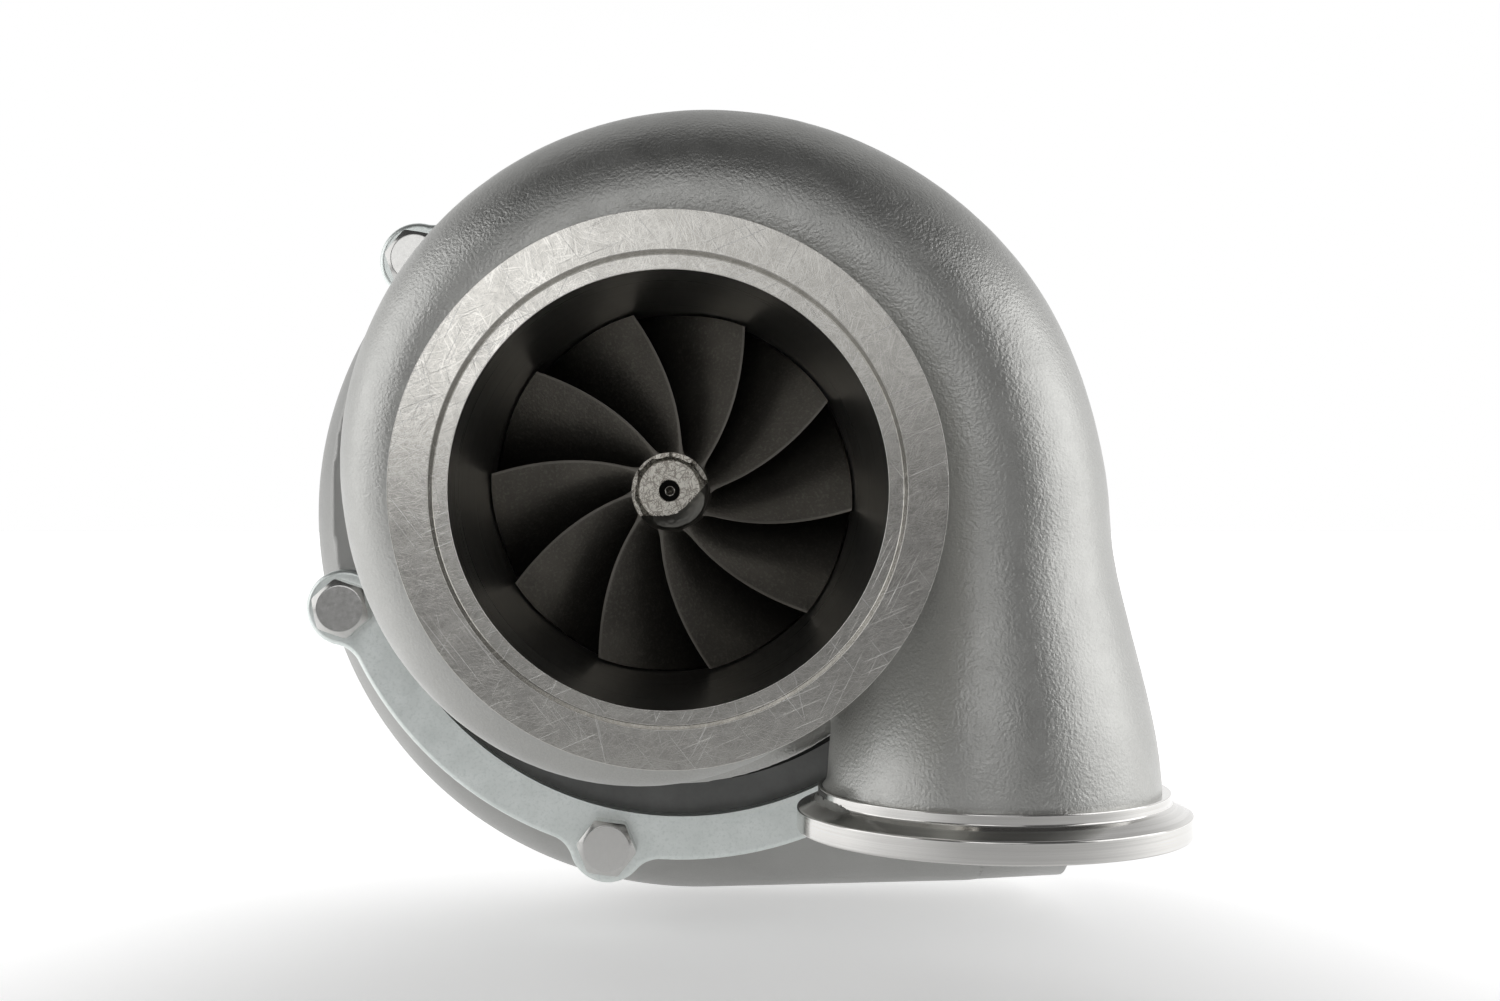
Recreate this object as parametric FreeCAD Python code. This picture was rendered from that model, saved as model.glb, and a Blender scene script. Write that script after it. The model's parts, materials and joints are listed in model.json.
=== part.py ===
import FreeCAD, Part
import math
import os
from FreeCAD import Vector

# Ball-bearing turbocharger, millimetres.
#
# Frame: the rotor turns about the Y axis.  The origin is the centre of the turbine
# outlet face, -Y points out of the turbine outlet and +Y out of the compressor inlet,
# +X is the way the compressor outlet points and +Z is up (oil feed side).
# Angles are counter-clockwise as seen from the turbine outlet, from +X towards +Z.
# Contours are lists of (radius, y).

# ---- driving dimensions -------------------------------------------------------

# turbine outlet: V-band rim with a register recess, then the exducer bore
OUTLET_RIM_R = 46.4
OUTLET_RIM_WIDTH = 4.3
OUTLET_NECK_R = 41.5
REGISTER_R = 39.2
REGISTER_DEPTH = 2.2
OUTLET_MOUTH_R = 36.7
VBAND_FLANK = math.radians(20)

# turbine wheel
T_BLADES = 10
T_EXDUCER_R = 32.5
T_INDUCER_R = 36.0
T_EXDUCER_Y = 26.0
T_TIP_FRONT_Y = 50.0
T_TIP_BACK_Y = 62.0
T_NOSE_Y = 10.0
T_NOSE_R = 6.7
T_WHEEL_BACK_Y = 67.0
T_FIRST_BLADE = 102.6
T_WRAP = 48.0
T_WRAP_LENGTH = 14.0
T_RUNNING_GAP = 0.45
T_ROOT_Y = 21.0
T_ROOT_THICK = 2.4
T_TIP_THICK = 0.9
T_HUB_LINE = [(6.9, 20.0), (7.8, 30.0), (10.5, 42.0), (16.0, 52.0), (24.0, 59.0), (33.0, 62.6)]
T_NOSE_FACE_R = 5.3
T_DRILL_R = 1.8
T_DRILL_DEPTH = 4.0
T_STATIONS = [19.5 + 4.6 * i for i in range(11)]

# turbine volute: round section that shrinks along the scroll
T_VOLUTE_Y = 58.0
T_VOLUTE_OUT_R = 85.0
T_VOLUTE_FALL = 0.1065
T_VOLUTE_IN_R = 36.0
T_VOLUTE_END = 330.0
T_WALL = 4.2
T_CORE_R = 50.0
T_WAIST = [(OUTLET_NECK_R, 20.0), (OUTLET_NECK_R + 1.0, 30.0), (T_CORE_R - 2.5, 40.0), (T_CORE_R, 50.0)]
T_TAIL = [(T_CORE_R, 68.0), (T_CORE_R + 3.0, 75.0), (59.7, 79.0)]
T_NOZZLE_R = 46.0
T_WHEEL_ROOM_R = 40.0
T_NOZZLE_GAP = 0.5
T_REAR_R = T_TAIL[-1][0]
T_REAR_Y = 88.0
T_SEAT_R = 47.1
T_SEAT_Y = 77.5

# turbine inlet: straight runner down to a V-band flange that faces -Z
INLET_X = 62.6
INLET_NECK_R = 32.65
INLET_BORE_R = 28.5
INLET_COLLAR_R = 34.4
INLET_RIM_R = 38.6
INLET_FACE_Z = -66.0
INLET_RIM_WIDTH = 4.25
INLET_CONE_DROP = 2.0
INLET_COLLAR_TOP_Z = -57.6

# clamp ring between turbine housing and centre housing
SEGMENT_THICK = 3.5
SEGMENT_BOLT_R = 52.8
SEGMENT_BOLTS = tuple(22.5 + 45 * i for i in range(8))
SEGMENT_GAPS = (0, 90, 180, 270)
SEGMENT_GAP = 22.0
SEGMENT_R = (43.0, 58.5)
SEGMENT_BOLT_REACH = 7.0
SEGMENT_HOLE = 8.0

# shaft, ball-bearing cartridge and seals
SHAFT_BOSS_R = 9.3
SHAFT_R = 5.0
SHAFT_STUB_R = 4.0
SEAL_BORE_R = 9.6
CARTRIDGE_Y = (84.5, 107.5)
CARTRIDGE_R = 15.0
OUTER_LAND_R = 10.6
INNER_LAND_R = 7.4
BALL_PITCH_R = 9.0
BALL_R = 2.45
GROOVE_R = 2.5
BALLS = 8
BALL_Y = (89.5, 102.5)
CAGE_R = (8.1, 9.9)
CAGE_WIDTH = 6.6

# centre housing
CH_FLANGE_R = 47.0
CH_FRONT_Y = 78.6
CH_BODY_R = 31.0
CH_REAR_FLANGE_R = 44.0
CH_REAR_Y = 114.0
FEED_Y = 98.0
FEED_TOP_Z = 45.0
FEED_TAP_R = 5.1
FEED_BOSS_R = 10.0
COOLANT_Y = 101.2
COOLANT_X = 46.0
COOLANT_TAP_R = 6.2
COOLANT_BOSS_R = 9.5
DRAIN_Y = 104.8
DRAIN_Z = -46.0
DRAIN_PAD_R = 7.7
DRAIN_BORE_R = 6.5
DRAIN_DEPTH = 20.0
DRAIN_SPACING = 44.0
DRAIN_TAP_R = 3.4
JACKET_R = (20.5, 26.5)
JACKET_Y = (91.0, 105.0)
PIN_ANGLE = 150
M8_TAP_R = 4.0

# backplate
PLATE_RIM_R = 75.5
PLATE_RIM_IN_R = 65.7
PLATE_RIM_Y = 117.0
PLATE_PILOT_R = 74.0
PLATE_STEP_Y = 121.5
DIFFUSER_Y = 126.0
PLATE_HUB_R = 46.0
PLATE_SCREW_R = 36.0
PLATE_SCREWS = (45, 135, 225, 315)

# stamped clamp plates and their bolts
RING_Y = 113.0
RING_THICK = 4.0
RING_IN_R = 72.9
RING_OUT_R = 83.0
EAR_R = 8.8
EAR_BLEND_R = 7.0
RING_EDGE_R = 1.1
BOLT_CIRCLE_R = 81.2
LOWER_BOLTS = (198, 258, 318)
UPPER_BOLTS = (12, 75, 138)

# M8 bolts with the small hexagon head
M8_R = 3.95
M8_CLEAR_R = 4.3
M8_FLATS = 12.0
M8_HEAD = 5.3
M8_FACE_R = 5.3

# compressor wheel
C_BLADES = 11
C_INDUCER_R = 33.0
C_EXDUCER_R = 42.0
C_BACK_Y = 126.4
C_TIP_Y = 131.0
C_INDUCER_Y = 158.0
C_HUB_END_Y = 160.0
C_RUNNING_GAP = 0.4
C_ROOT_THICK = 2.2
C_TIP_THICK = 0.9
C_ROOT_WRAP = 50.0
C_TIP_WRAP = 66.0
C_HUB_LINE = [(9.0, 160.0), (9.6, 152.0), (12.0, 142.0), (19.0, 133.0), (29.0, 128.8), (42.0, 127.8)]
C_STATIONS = [125.4 + 3.4 * i for i in range(11)]
NUT_FLATS = 12.0
NUT_HEIGHT = 8.0
SHAFT_END_Y = 170.5

# compressor cover: scroll that grows towards the outlet pipe
C_FLANGE_R = 81.6
C_FLANGE_THICK = 12.0
C_LUG_R = 8.2
C_VOLUTE_FRONT_Y = 127.0
C_VOLUTE_START = -45.0
C_VOLUTE_END = 273.0
C_VOLUTE_MID = 165.0
C_VOLUTE_OUT_R = 90.0
C_VOLUTE_GAIN = 0.0713
C_SECTION_START = 10.0
C_SECTION_END = 30.2
C_WALL = 4.0
C_PIPE_R = 32.0
C_HOSE_R = 31.75
C_HOSE_LENGTH = 22.0
C_PIPE_BORE_R = 28.0
C_PIPE_END_X = 92.5
C_DIFFUSER_GAP = 5.5
C_THROAT_R = (57.0, 66.0)
C_THROAT_Y = 137.0
C_INLET_R = 50.8
C_INLET_BORE_R = 47.6
C_INLET_BORE_Y = 197.0
C_INLET_END_Y = 208.0
C_BODY_LINE = [(74.0, 128.0), (71.5, 138.0), (66.0, 144.0), (56.0, 153.0), (48.5, 164.0), (46.5, 174.0), (50.8, 186.0)]
C_BOLT_REACH = 10.0
C_BOLT_HOLE = 12.0


# ---- helpers ------------------------------------------------------------------

def polar(radius, angle, y):
    """Point at a radius from the rotor axis, at an angle in degrees."""
    a = math.radians(angle)
    return Vector(radius * math.cos(a), y, radius * math.sin(a))


def turned(shape, angle):
    """A copy of the shape turned about the rotor axis."""
    copy = shape.copy()
    copy.rotate(Vector(0, 0, 0), Vector(0, -1, 0), angle)
    return copy


def spline(points):
    """Smooth edge through (radius, y) points."""
    curve = Part.BSplineCurve()
    curve.interpolate([Vector(r, y, 0) for r, y in points])
    return curve.toShape()


def line(a, b):
    return Part.LineSegment(Vector(a[0], a[1], 0), Vector(b[0], b[1], 0)).toShape()


def lathe_edges(edges):
    """Solid of revolution about the rotor axis from a closed chain of edges."""
    face = Part.Face(Part.Wire(Part.__sortEdges__(edges)))
    return face.revolve(Vector(0, 0, 0), Vector(0, 1, 0), 360)


def lathe(points):
    """Solid of revolution from a closed outline of (radius, y) points."""
    ring = list(points) + [points[0]]
    return lathe_edges([line(a, b) for a, b in zip(ring, ring[1:])])


def tube(r_in, r_out, y0, y1):
    return lathe([(r_in, y0), (r_out, y0), (r_out, y1), (r_in, y1)])


def rod(radius, start, direction, length):
    return Part.makeCylinder(radius, length, start, direction)


def disc(radius, y0, y1):
    return rod(radius, Vector(0, y0, 0), Vector(0, 1, 0), y1 - y0)


def ball_ring(radius, y):
    """Torus about the rotor axis that cuts a ball groove."""
    return Part.makeTorus(BALL_PITCH_R, radius, Vector(0, y, 0), Vector(0, 1, 0))


def fuse(shapes):
    return shapes[0].fuse(shapes[1:]).removeSplitter()


def section(radius, centre_r, y, angle):
    """Round scroll section, square to the flow."""
    ring = Part.Wire(Part.makeCircle(radius, Vector(0, 0, 0), Vector(0, 0, 1)))
    ring.translate(Vector(centre_r, y, 0))
    ring.rotate(Vector(0, 0, 0), Vector(0, -1, 0), angle)
    return ring


def loft(wires):
    return Part.makeLoft(wires, True, False)


def hexagon(flats, y0, y1):
    """Hexagonal prism along the rotor axis."""
    corner = flats / math.sqrt(3)
    points = [polar(corner, 60 * i + 30, y0) for i in range(7)]
    return Part.Face(Part.makePolygon(points)).extrude(Vector(0, y1 - y0, 0))


def hex_head(flats, face_r, y_seat, height, sense):
    """Bolt head whose outer corners are chamfered round; sense is its +/-Y side."""
    y_top = y_seat + sense * height
    corner = flats / math.sqrt(3)
    rise = (corner - face_r) * math.tan(math.radians(30))
    outline = [(0, y_seat), (corner, y_seat), (corner, y_top - sense * rise), (face_r, y_top), (0, y_top)]
    prism = hexagon(flats, min(y_seat, y_top), max(y_seat, y_top))
    return prism.common(lathe(outline))


def m8_bolt(y_seat, length, sense):
    """M8 bolt on the rotor axis; the shank runs away from the head."""
    head = hex_head(M8_FLATS, M8_FACE_R, y_seat, M8_HEAD, sense)
    shank = rod(M8_R, Vector(0, y_seat, 0), Vector(0, -sense, 0), length)
    return head.fuse(shank).removeSplitter()


def ring_of(shape, radius, angles):
    """Copies of a shape on the rotor axis, moved out to a circle."""
    out = []
    for angle in angles:
        copy = shape.copy()
        copy.translate(Vector(radius, 0, 0))
        out.append(turned(copy, angle))
    return out


def smoothstep(t):
    t = max(0.0, min(1.0, t))
    return t * t * (3 - 2 * t)


def save(name, shape):
    shape.exportStep("parts/" + name + ".step")
    print(name, len(shape.Solids), "solid(s)", round(shape.Volume / 1000, 2), "cm3",
          "valid" if shape.isValid() else "INVALID")


# ---- turbine housing ----------------------------------------------------------

def runner_sections(thin):
    """Sections of the inlet runner from the flange collar up to the scroll."""
    wires = []
    steps = 6
    for i in range(steps):
        s = smoothstep(1 - i / steps)
        z = (INLET_COLLAR_TOP_Z - 2) * (1 - i / steps)
        scroll_r = (T_VOLUTE_OUT_R - T_VOLUTE_IN_R) / 2
        scroll_x = T_VOLUTE_IN_R + scroll_r
        radius = scroll_r + (INLET_NECK_R - scroll_r) * s - thin
        x = scroll_x + (INLET_X - scroll_x) * s
        wire = section(radius, x, T_VOLUTE_Y, 0)
        wire.translate(Vector(0, 0, z))
        wires.append(wire)
    return wires


def turbine_scroll(thin, end):
    """Runner and scroll, thinned by the wall for the gas path, as two lofts that meet half-way."""
    wires = []
    count = 14
    for i in range(count + 1):
        angle = end * i / count
        out_r = T_VOLUTE_OUT_R - T_VOLUTE_FALL * angle
        radius = (out_r - T_VOLUTE_IN_R) / 2
        wires.append(section(radius - thin, out_r - radius, T_VOLUTE_Y, angle))
    half = count // 2
    return [loft(runner_sections(thin) + wires[:half + 1]), loft(wires[half:])]


def turbine_shroud(gap):
    """Tip contour of the turbine wheel, from the exducer to the inducer."""
    return [(T_EXDUCER_R + gap, T_EXDUCER_Y), (T_EXDUCER_R + 0.1 + gap, 36.0),
            (T_EXDUCER_R + 1.1 + gap, 44.0), (T_INDUCER_R + gap, T_TIP_FRONT_Y)]


def turbine_core():
    """Outlet neck, waist and rear flange, all turned about the rotor axis."""
    flank = (OUTLET_RIM_R - OUTLET_NECK_R) * math.tan(VBAND_FLANK)
    neck_y = OUTLET_RIM_WIDTH + flank
    outline = [(0, 0), (OUTLET_RIM_R, 0), (OUTLET_RIM_R, OUTLET_RIM_WIDTH), (OUTLET_NECK_R, neck_y),
               T_WAIST[0]]
    edges = [line(a, b) for a, b in zip(outline, outline[1:])]
    edges += [spline(T_WAIST), line(T_WAIST[-1], T_TAIL[0]), spline(T_TAIL)]
    rear = [T_TAIL[-1], (T_REAR_R, T_REAR_Y), (0, T_REAR_Y), (0, 0)]
    edges += [line(a, b) for a, b in zip(rear, rear[1:])]
    return lathe_edges(edges)


def turbine_bore():
    """Register, exducer bore, wheel chamber, nozzle slot and rear seat."""
    slot = (T_TIP_FRONT_Y + T_NOZZLE_GAP, T_TIP_BACK_Y + T_NOZZLE_GAP)
    shroud = turbine_shroud(T_RUNNING_GAP)
    outline = [(0, -1), (REGISTER_R, -1), (REGISTER_R, REGISTER_DEPTH), (OUTLET_MOUTH_R, REGISTER_DEPTH), shroud[0]]
    edges = [line(a, b) for a, b in zip(outline, outline[1:])]
    edges.append(spline(shroud))
    back = [shroud[-1], (T_NOZZLE_R, slot[0]), (T_NOZZLE_R, slot[1]), (T_WHEEL_ROOM_R, slot[1]),
            (T_WHEEL_ROOM_R, T_SEAT_Y), (T_SEAT_R, T_SEAT_Y), (T_SEAT_R, T_REAR_Y + 1), (0, T_REAR_Y + 1), (0, -1)]
    edges += [line(a, b) for a, b in zip(back, back[1:])]
    return lathe_edges(edges)


def inlet_flange():
    """V-band collar of the turbine inlet, turned about its own vertical axis."""
    rim_z = INLET_FACE_Z + INLET_RIM_WIDTH
    cone_z = rim_z + INLET_CONE_DROP
    top_z = INLET_COLLAR_TOP_Z
    points = [(0, INLET_FACE_Z), (INLET_RIM_R, INLET_FACE_Z), (INLET_RIM_R, rim_z), (INLET_COLLAR_R, cone_z),
              (INLET_COLLAR_R, top_z), (INLET_NECK_R, top_z), (INLET_NECK_R, top_z + 2), (0, top_z + 2)]
    corners = [Vector(INLET_X + r, T_VOLUTE_Y, z) for r, z in points + points[:1]]
    face = Part.Face(Part.makePolygon(corners))
    return face.revolve(Vector(INLET_X, T_VOLUTE_Y, 0), Vector(0, 0, 1), 360)


def turbine_housing():
    bolt_hole = rod(M8_TAP_R, Vector(SEGMENT_BOLT_R, T_REAR_Y + 1, 0), Vector(0, -1, 0), SEGMENT_HOLE + 1)
    body = fuse([turbine_core(), inlet_flange()] + turbine_scroll(0, T_VOLUTE_END))
    body = body.cut(turbine_scroll(T_WALL, T_VOLUTE_END - 6))
    body = body.cut(turbine_bore())
    mouth_length = INLET_COLLAR_TOP_Z - INLET_FACE_Z + 1.0
    mouth = rod(INLET_BORE_R, Vector(INLET_X, T_VOLUTE_Y, INLET_FACE_Z - 1), Vector(0, 0, 1), mouth_length)
    body = body.cut(mouth)
    body = body.cut([turned(bolt_hole, a) for a in SEGMENT_BOLTS])
    return largest(body)


def largest(shape):
    """The main solid, without any crumb that a cut leaves behind."""
    return max(shape.Solids, key=lambda solid: solid.Volume)


# ---- wheels -------------------------------------------------------------------

def blade_blank(inner, outer, thick_in, thick_out):
    """Twisted plate between an inner and an outer line of (radius, angle, y)."""
    def offset_line(points, offset):
        places = []
        for radius, angle, y in points:
            a = math.radians(angle)
            across = Vector(-math.sin(a), 0, math.cos(a))
            places.append(polar(radius, angle, y) + across * offset)
        curve = Part.BSplineCurve()
        curve.interpolate(Points=places, Parameters=[float(i) for i in range(len(places))])
        return curve.toShape()

    in_a = offset_line(inner, -thick_in / 2)
    in_b = offset_line(inner, thick_in / 2)
    out_a = offset_line(outer, -thick_out / 2)
    out_b = offset_line(outer, thick_out / 2)
    faces = [Part.makeRuledSurface(a, b) for a, b in
             ((in_a, out_a), (in_b, out_b), (in_a, in_b), (out_a, out_b))]
    for end in (0, -1):
        tips = [edge.Vertexes[end].Point for edge in (in_a, out_a, out_b, in_b)]
        faces.append(Part.Face(Part.makePolygon(tips + tips[:1])))
    return sewn(faces)


def sewn(faces):
    shell = Part.Compound(faces)
    shell.sewShape()
    solid = Part.makeSolid(shell.Shells[0])
    if solid.Volume < 0:
        solid.reverse()
    return solid


def turbine_wrap(y):
    """Angle of a turbine blade at a distance along the axis."""
    return T_FIRST_BLADE + T_WRAP * (1 - math.exp((T_EXDUCER_Y - y) / T_WRAP_LENGTH))


def turbine_hub():
    edges = [line((0, T_NOSE_Y), (T_NOSE_FACE_R, T_NOSE_Y)), line((T_NOSE_FACE_R, T_NOSE_Y), (T_NOSE_R, T_NOSE_Y + 1.6)),
             line((T_NOSE_R, T_NOSE_Y + 1.6), T_HUB_LINE[0]), spline(T_HUB_LINE)]
    back = [T_HUB_LINE[-1], (33.5, 63.6), (22.0, 65.4), (SHAFT_BOSS_R + 1, 66.2), (SHAFT_BOSS_R, T_WHEEL_BACK_Y),
            (0, T_WHEEL_BACK_Y), (0, T_NOSE_Y)]
    edges += [line(a, b) for a, b in zip(back, back[1:])]
    return lathe_edges(edges)


def turbine_wheel():
    inner = [(3.5, turbine_wrap(y), y) for y in T_STATIONS]
    outer = [(T_INDUCER_R + 2, turbine_wrap(y), y) for y in T_STATIONS]
    blank = blade_blank(inner, outer, T_ROOT_THICK, T_TIP_THICK)
    shroud = turbine_shroud(0)
    outline = [(4.0, T_ROOT_Y), (8.0, T_ROOT_Y), shroud[0]]
    edges = [line(a, b) for a, b in zip(outline, outline[1:])]
    edges.append(spline(shroud))
    back = [shroud[-1], (T_INDUCER_R, T_TIP_BACK_Y), (33.2, 63.4), (4.0, 65.0), (4.0, T_ROOT_Y)]
    edges += [line(a, b) for a, b in zip(back, back[1:])]
    blade = largest(blank.common(lathe_edges(edges)))
    wheel = fuse([turbine_hub()] + [turned(blade, 360 / T_BLADES * i) for i in range(T_BLADES)])
    return wheel.cut(rod(T_DRILL_R, Vector(0, T_NOSE_Y - 1, 0), Vector(0, 1, 0), T_DRILL_DEPTH + 1))


def compressor_shroud(gap):
    """Tip contour of the compressor wheel, from the inducer to the exducer."""
    return [(C_INDUCER_R + gap, C_INDUCER_Y), (C_INDUCER_R + 0.1 + gap, 150.0), (C_INDUCER_R + 1.0 + gap, 142.0),
            (C_INDUCER_R + 4.0 + gap, 135.0 + gap), (C_EXDUCER_R + gap, C_TIP_Y + gap)]


def compressor_wheel():
    edges = [line((SHAFT_STUB_R, C_BACK_Y), (SHAFT_STUB_R, C_HUB_END_Y)),
             line((SHAFT_STUB_R, C_HUB_END_Y), C_HUB_LINE[0]), spline(C_HUB_LINE),
             line(C_HUB_LINE[-1], (C_EXDUCER_R, C_BACK_Y)), line((C_EXDUCER_R, C_BACK_Y), (SHAFT_STUB_R, C_BACK_Y))]
    hub = lathe_edges(edges)
    inner = [(5.5, C_ROOT_WRAP * smoothstep((y - 122) / 40), y) for y in C_STATIONS]
    outer = [(C_EXDUCER_R + 3, C_TIP_WRAP * smoothstep((y - 124) / 40) - 12, y) for y in C_STATIONS]
    blank = blade_blank(inner, outer, C_ROOT_THICK, C_TIP_THICK)
    shroud = compressor_shroud(0)
    edges = [line((6.0, C_INDUCER_Y), shroud[0]), spline(shroud)]
    back = [shroud[-1], (C_EXDUCER_R, 127.0), (6.0, 127.0), (6.0, C_INDUCER_Y)]
    edges += [line(a, b) for a, b in zip(back, back[1:])]
    blade = largest(blank.common(lathe_edges(edges)))
    return fuse([hub] + [turned(blade, 360 / C_BLADES * i) for i in range(C_BLADES)])


# ---- shaft, bearing cartridge and seals ---------------------------------------

def rotor_shaft():
    groove = tube(7.8, SHAFT_BOSS_R + 1, 78.4, 80.2)
    steps = [(0, T_WHEEL_BACK_Y), (SHAFT_BOSS_R, T_WHEEL_BACK_Y), (SHAFT_BOSS_R, 83.0), (6.6, CARTRIDGE_Y[0]),
             (SHAFT_R, CARTRIDGE_Y[0]), (SHAFT_R, CARTRIDGE_Y[1]), (SHAFT_STUB_R, CARTRIDGE_Y[1]),
             (SHAFT_STUB_R, SHAFT_END_Y - 0.8), (SHAFT_STUB_R - 0.8, SHAFT_END_Y), (0, SHAFT_END_Y)]
    return lathe(steps).cut(groove)


def inner_race(y0, y1, ball_y):
    return tube(SHAFT_R, INNER_LAND_R, y0, y1).cut(ball_ring(GROOVE_R, ball_y))


def bearing_outer_sleeve():
    sleeve = tube(OUTER_LAND_R, CARTRIDGE_R - 0.03, *CARTRIDGE_Y)
    oil_band = tube(CARTRIDGE_R - 1.2, CARTRIDGE_R + 1, FEED_Y - 3, FEED_Y + 3)
    oil_holes = [rod(0.8, Vector(0, FEED_Y, 0), polar(1, a, 0), CARTRIDGE_R) for a in (90, 210, 330)]
    pin_hole = rod(2.0, Vector(0, FEED_Y, 0), polar(1, PIN_ANGLE, 0), CARTRIDGE_R)
    sleeve = sleeve.cut([ball_ring(GROOVE_R + 0.1, y) for y in BALL_Y] + [oil_band, pin_hole] + oil_holes)
    return largest(sleeve)


def bearing_balls(y):
    ball = Part.makeSphere(BALL_R, Vector(BALL_PITCH_R, y, 0))
    return Part.Compound([turned(ball, 360 / BALLS * i) for i in range(BALLS)])


def bearing_cage(y):
    ring = tube(CAGE_R[0], CAGE_R[1], y - CAGE_WIDTH / 2, y + CAGE_WIDTH / 2)
    pocket = rod(BALL_R + 0.1, Vector(0, y, 0), Vector(1, 0, 0), CARTRIDGE_R)
    return ring.cut([turned(pocket, 360 / BALLS * i) for i in range(BALLS)])


def split_ring(r_in, r_out, y0, y1, angle, gap):
    """Sprung ring with a gap, such as a piston ring or a retaining ring."""
    slit = Part.makeBox(r_out + 2, y1 - y0 + 2, gap, Vector(0, y0 - 1, -gap / 2))
    return tube(r_in, r_out, y0, y1).cut(turned(slit, angle))


def oil_slinger_collar():
    outline = [(SHAFT_STUB_R, CARTRIDGE_Y[1]), (7.2, CARTRIDGE_Y[1]), (7.2, 111.0), (11.5, 111.6), (11.5, 113.0),
               (8.8, 113.4), (8.8, C_BACK_Y), (SHAFT_STUB_R, C_BACK_Y)]
    return lathe(outline).cut(tube(7.5, 10.0, 119.0, 120.8))


# ---- centre housing and what bolts to it --------------------------------------

def center_housing_body():
    waist = spline([(CH_BODY_R + 4, T_REAR_Y), (CH_BODY_R, T_REAR_Y + 4), (CH_BODY_R, 102.0), (CH_REAR_FLANGE_R, 107.5)])
    outline = [(CH_REAR_FLANGE_R, 107.5), (CH_REAR_FLANGE_R, CH_REAR_Y), (0, CH_REAR_Y), (0, 72.5), (13.0, 72.5),
               (16.0, CH_FRONT_Y), (CH_FLANGE_R, CH_FRONT_Y), (CH_FLANGE_R, T_REAR_Y), (CH_BODY_R + 4, T_REAR_Y)]
    edges = [line(a, b) for a, b in zip(outline, outline[1:])] + [waist]
    inside = 20.0
    bosses = [rod(FEED_BOSS_R, Vector(0, FEED_Y, inside), Vector(0, 0, 1), FEED_TOP_Z - inside)]
    for side in (-1, 1):
        start = Vector(side * inside, COOLANT_Y, 0)
        bosses.append(rod(COOLANT_BOSS_R, start, Vector(side, 0, 0), COOLANT_X - inside))
    half = DRAIN_SPACING / 2
    pad_corner = Vector(-half, DRAIN_Y - DRAIN_PAD_R, DRAIN_Z)
    drain = [Part.makeBox(DRAIN_SPACING, 2 * DRAIN_PAD_R, 14, pad_corner)]
    drain += [rod(DRAIN_PAD_R, Vector(x, DRAIN_Y, DRAIN_Z), Vector(0, 0, 1), 14) for x in (-half, half)]
    drain.append(rod(13.0, Vector(0, DRAIN_Y - 5, DRAIN_Z + 6), Vector(0, 0, 1), -DRAIN_Z - inside))
    behind = disc(60, CH_REAR_Y, CH_REAR_Y + 20)
    before = disc(60, T_REAR_Y - 30, T_REAR_Y).cut(disc(CH_FLANGE_R, T_REAR_Y - 31, T_REAR_Y + 1))
    body = fuse([lathe_edges(edges)] + drain + bosses)
    return body.cut([behind, before])


def water_jacket():
    """Coolant space around the cartridge, kept clear of the oil feed, drain and pin."""
    ways = [rod(5.0, Vector(0, FEED_Y, 0), Vector(0, 0, 1), 40),
            rod(DRAIN_BORE_R + 3, Vector(0, DRAIN_Y, 0), Vector(0, 0, -1), 40),
            rod(5.0, Vector(0, FEED_Y, 0), polar(1, PIN_ANGLE, 0), 40)]
    return tube(JACKET_R[0], JACKET_R[1], JACKET_Y[0], JACKET_Y[1]).cut(ways)


def center_housing():
    up = Vector(0, 0, 1)
    cuts = [disc(SEAL_BORE_R, 72, 85), disc(CARTRIDGE_R, CARTRIDGE_Y[0], CH_REAR_Y + 1),
            tube(14.0, 16.6, 107.9, 109.6), water_jacket()]
    cuts += [rod(FEED_TAP_R, Vector(0, FEED_Y, FEED_TOP_Z - 12), up, 13),
             rod(2.0, Vector(0, FEED_Y, 0), up, FEED_TOP_Z)]
    for side in (-1, 1):
        out = Vector(side, 0, 0)
        cuts.append(rod(COOLANT_TAP_R, Vector(side * (COOLANT_X - 14), COOLANT_Y, 0), out, 15))
        cuts.append(rod(4.0, Vector(side * 24, COOLANT_Y, 0), out, 20))
        cuts.append(rod(DRAIN_TAP_R, Vector(side * DRAIN_SPACING / 2, DRAIN_Y, DRAIN_Z - 1), up, 11))
    cuts.append(rod(DRAIN_BORE_R, Vector(0, DRAIN_Y, DRAIN_Z), up, DRAIN_DEPTH))
    cuts.append(rod(DRAIN_BORE_R - 0.7, Vector(0, DRAIN_Y, 0), -up, -DRAIN_Z - 1))
    cuts.append(rod(2.0, Vector(0, FEED_Y, 0), polar(1, PIN_ANGLE, 0), 28))
    cuts += [rod(2.5, polar(PLATE_SCREW_R, a, CH_REAR_Y - 9), Vector(0, 1, 0), 10) for a in PLATE_SCREWS]
    return largest(center_housing_body().cut(cuts))


def heat_shield():
    outline = [(11.0, 68.4), (34.0, 68.4), (38.6, 72.4), (38.6, T_SEAT_Y), (CH_FLANGE_R, T_SEAT_Y),
               (CH_FLANGE_R, CH_FRONT_Y), (37.6, CH_FRONT_Y), (37.6, 72.8), (33.6, 69.4), (11.0, 69.4)]
    return lathe(outline)


def clamp_segments():
    """Four arc plates that hold the centre housing flange in the turbine housing."""
    ring = tube(SEGMENT_R[0], SEGMENT_R[1], T_REAR_Y, T_REAR_Y + SEGMENT_THICK)
    hole = rod(M8_CLEAR_R, Vector(SEGMENT_BOLT_R, T_REAR_Y - 1, 0), Vector(0, 1, 0), SEGMENT_THICK + 2)
    gap = Part.makeBox(30, SEGMENT_THICK + 2, SEGMENT_GAP, Vector(35, T_REAR_Y - 1, -SEGMENT_GAP / 2))
    cuts = [turned(hole, a) for a in SEGMENT_BOLTS] + [turned(gap, a) for a in SEGMENT_GAPS]
    return ring.cut(cuts)


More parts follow.
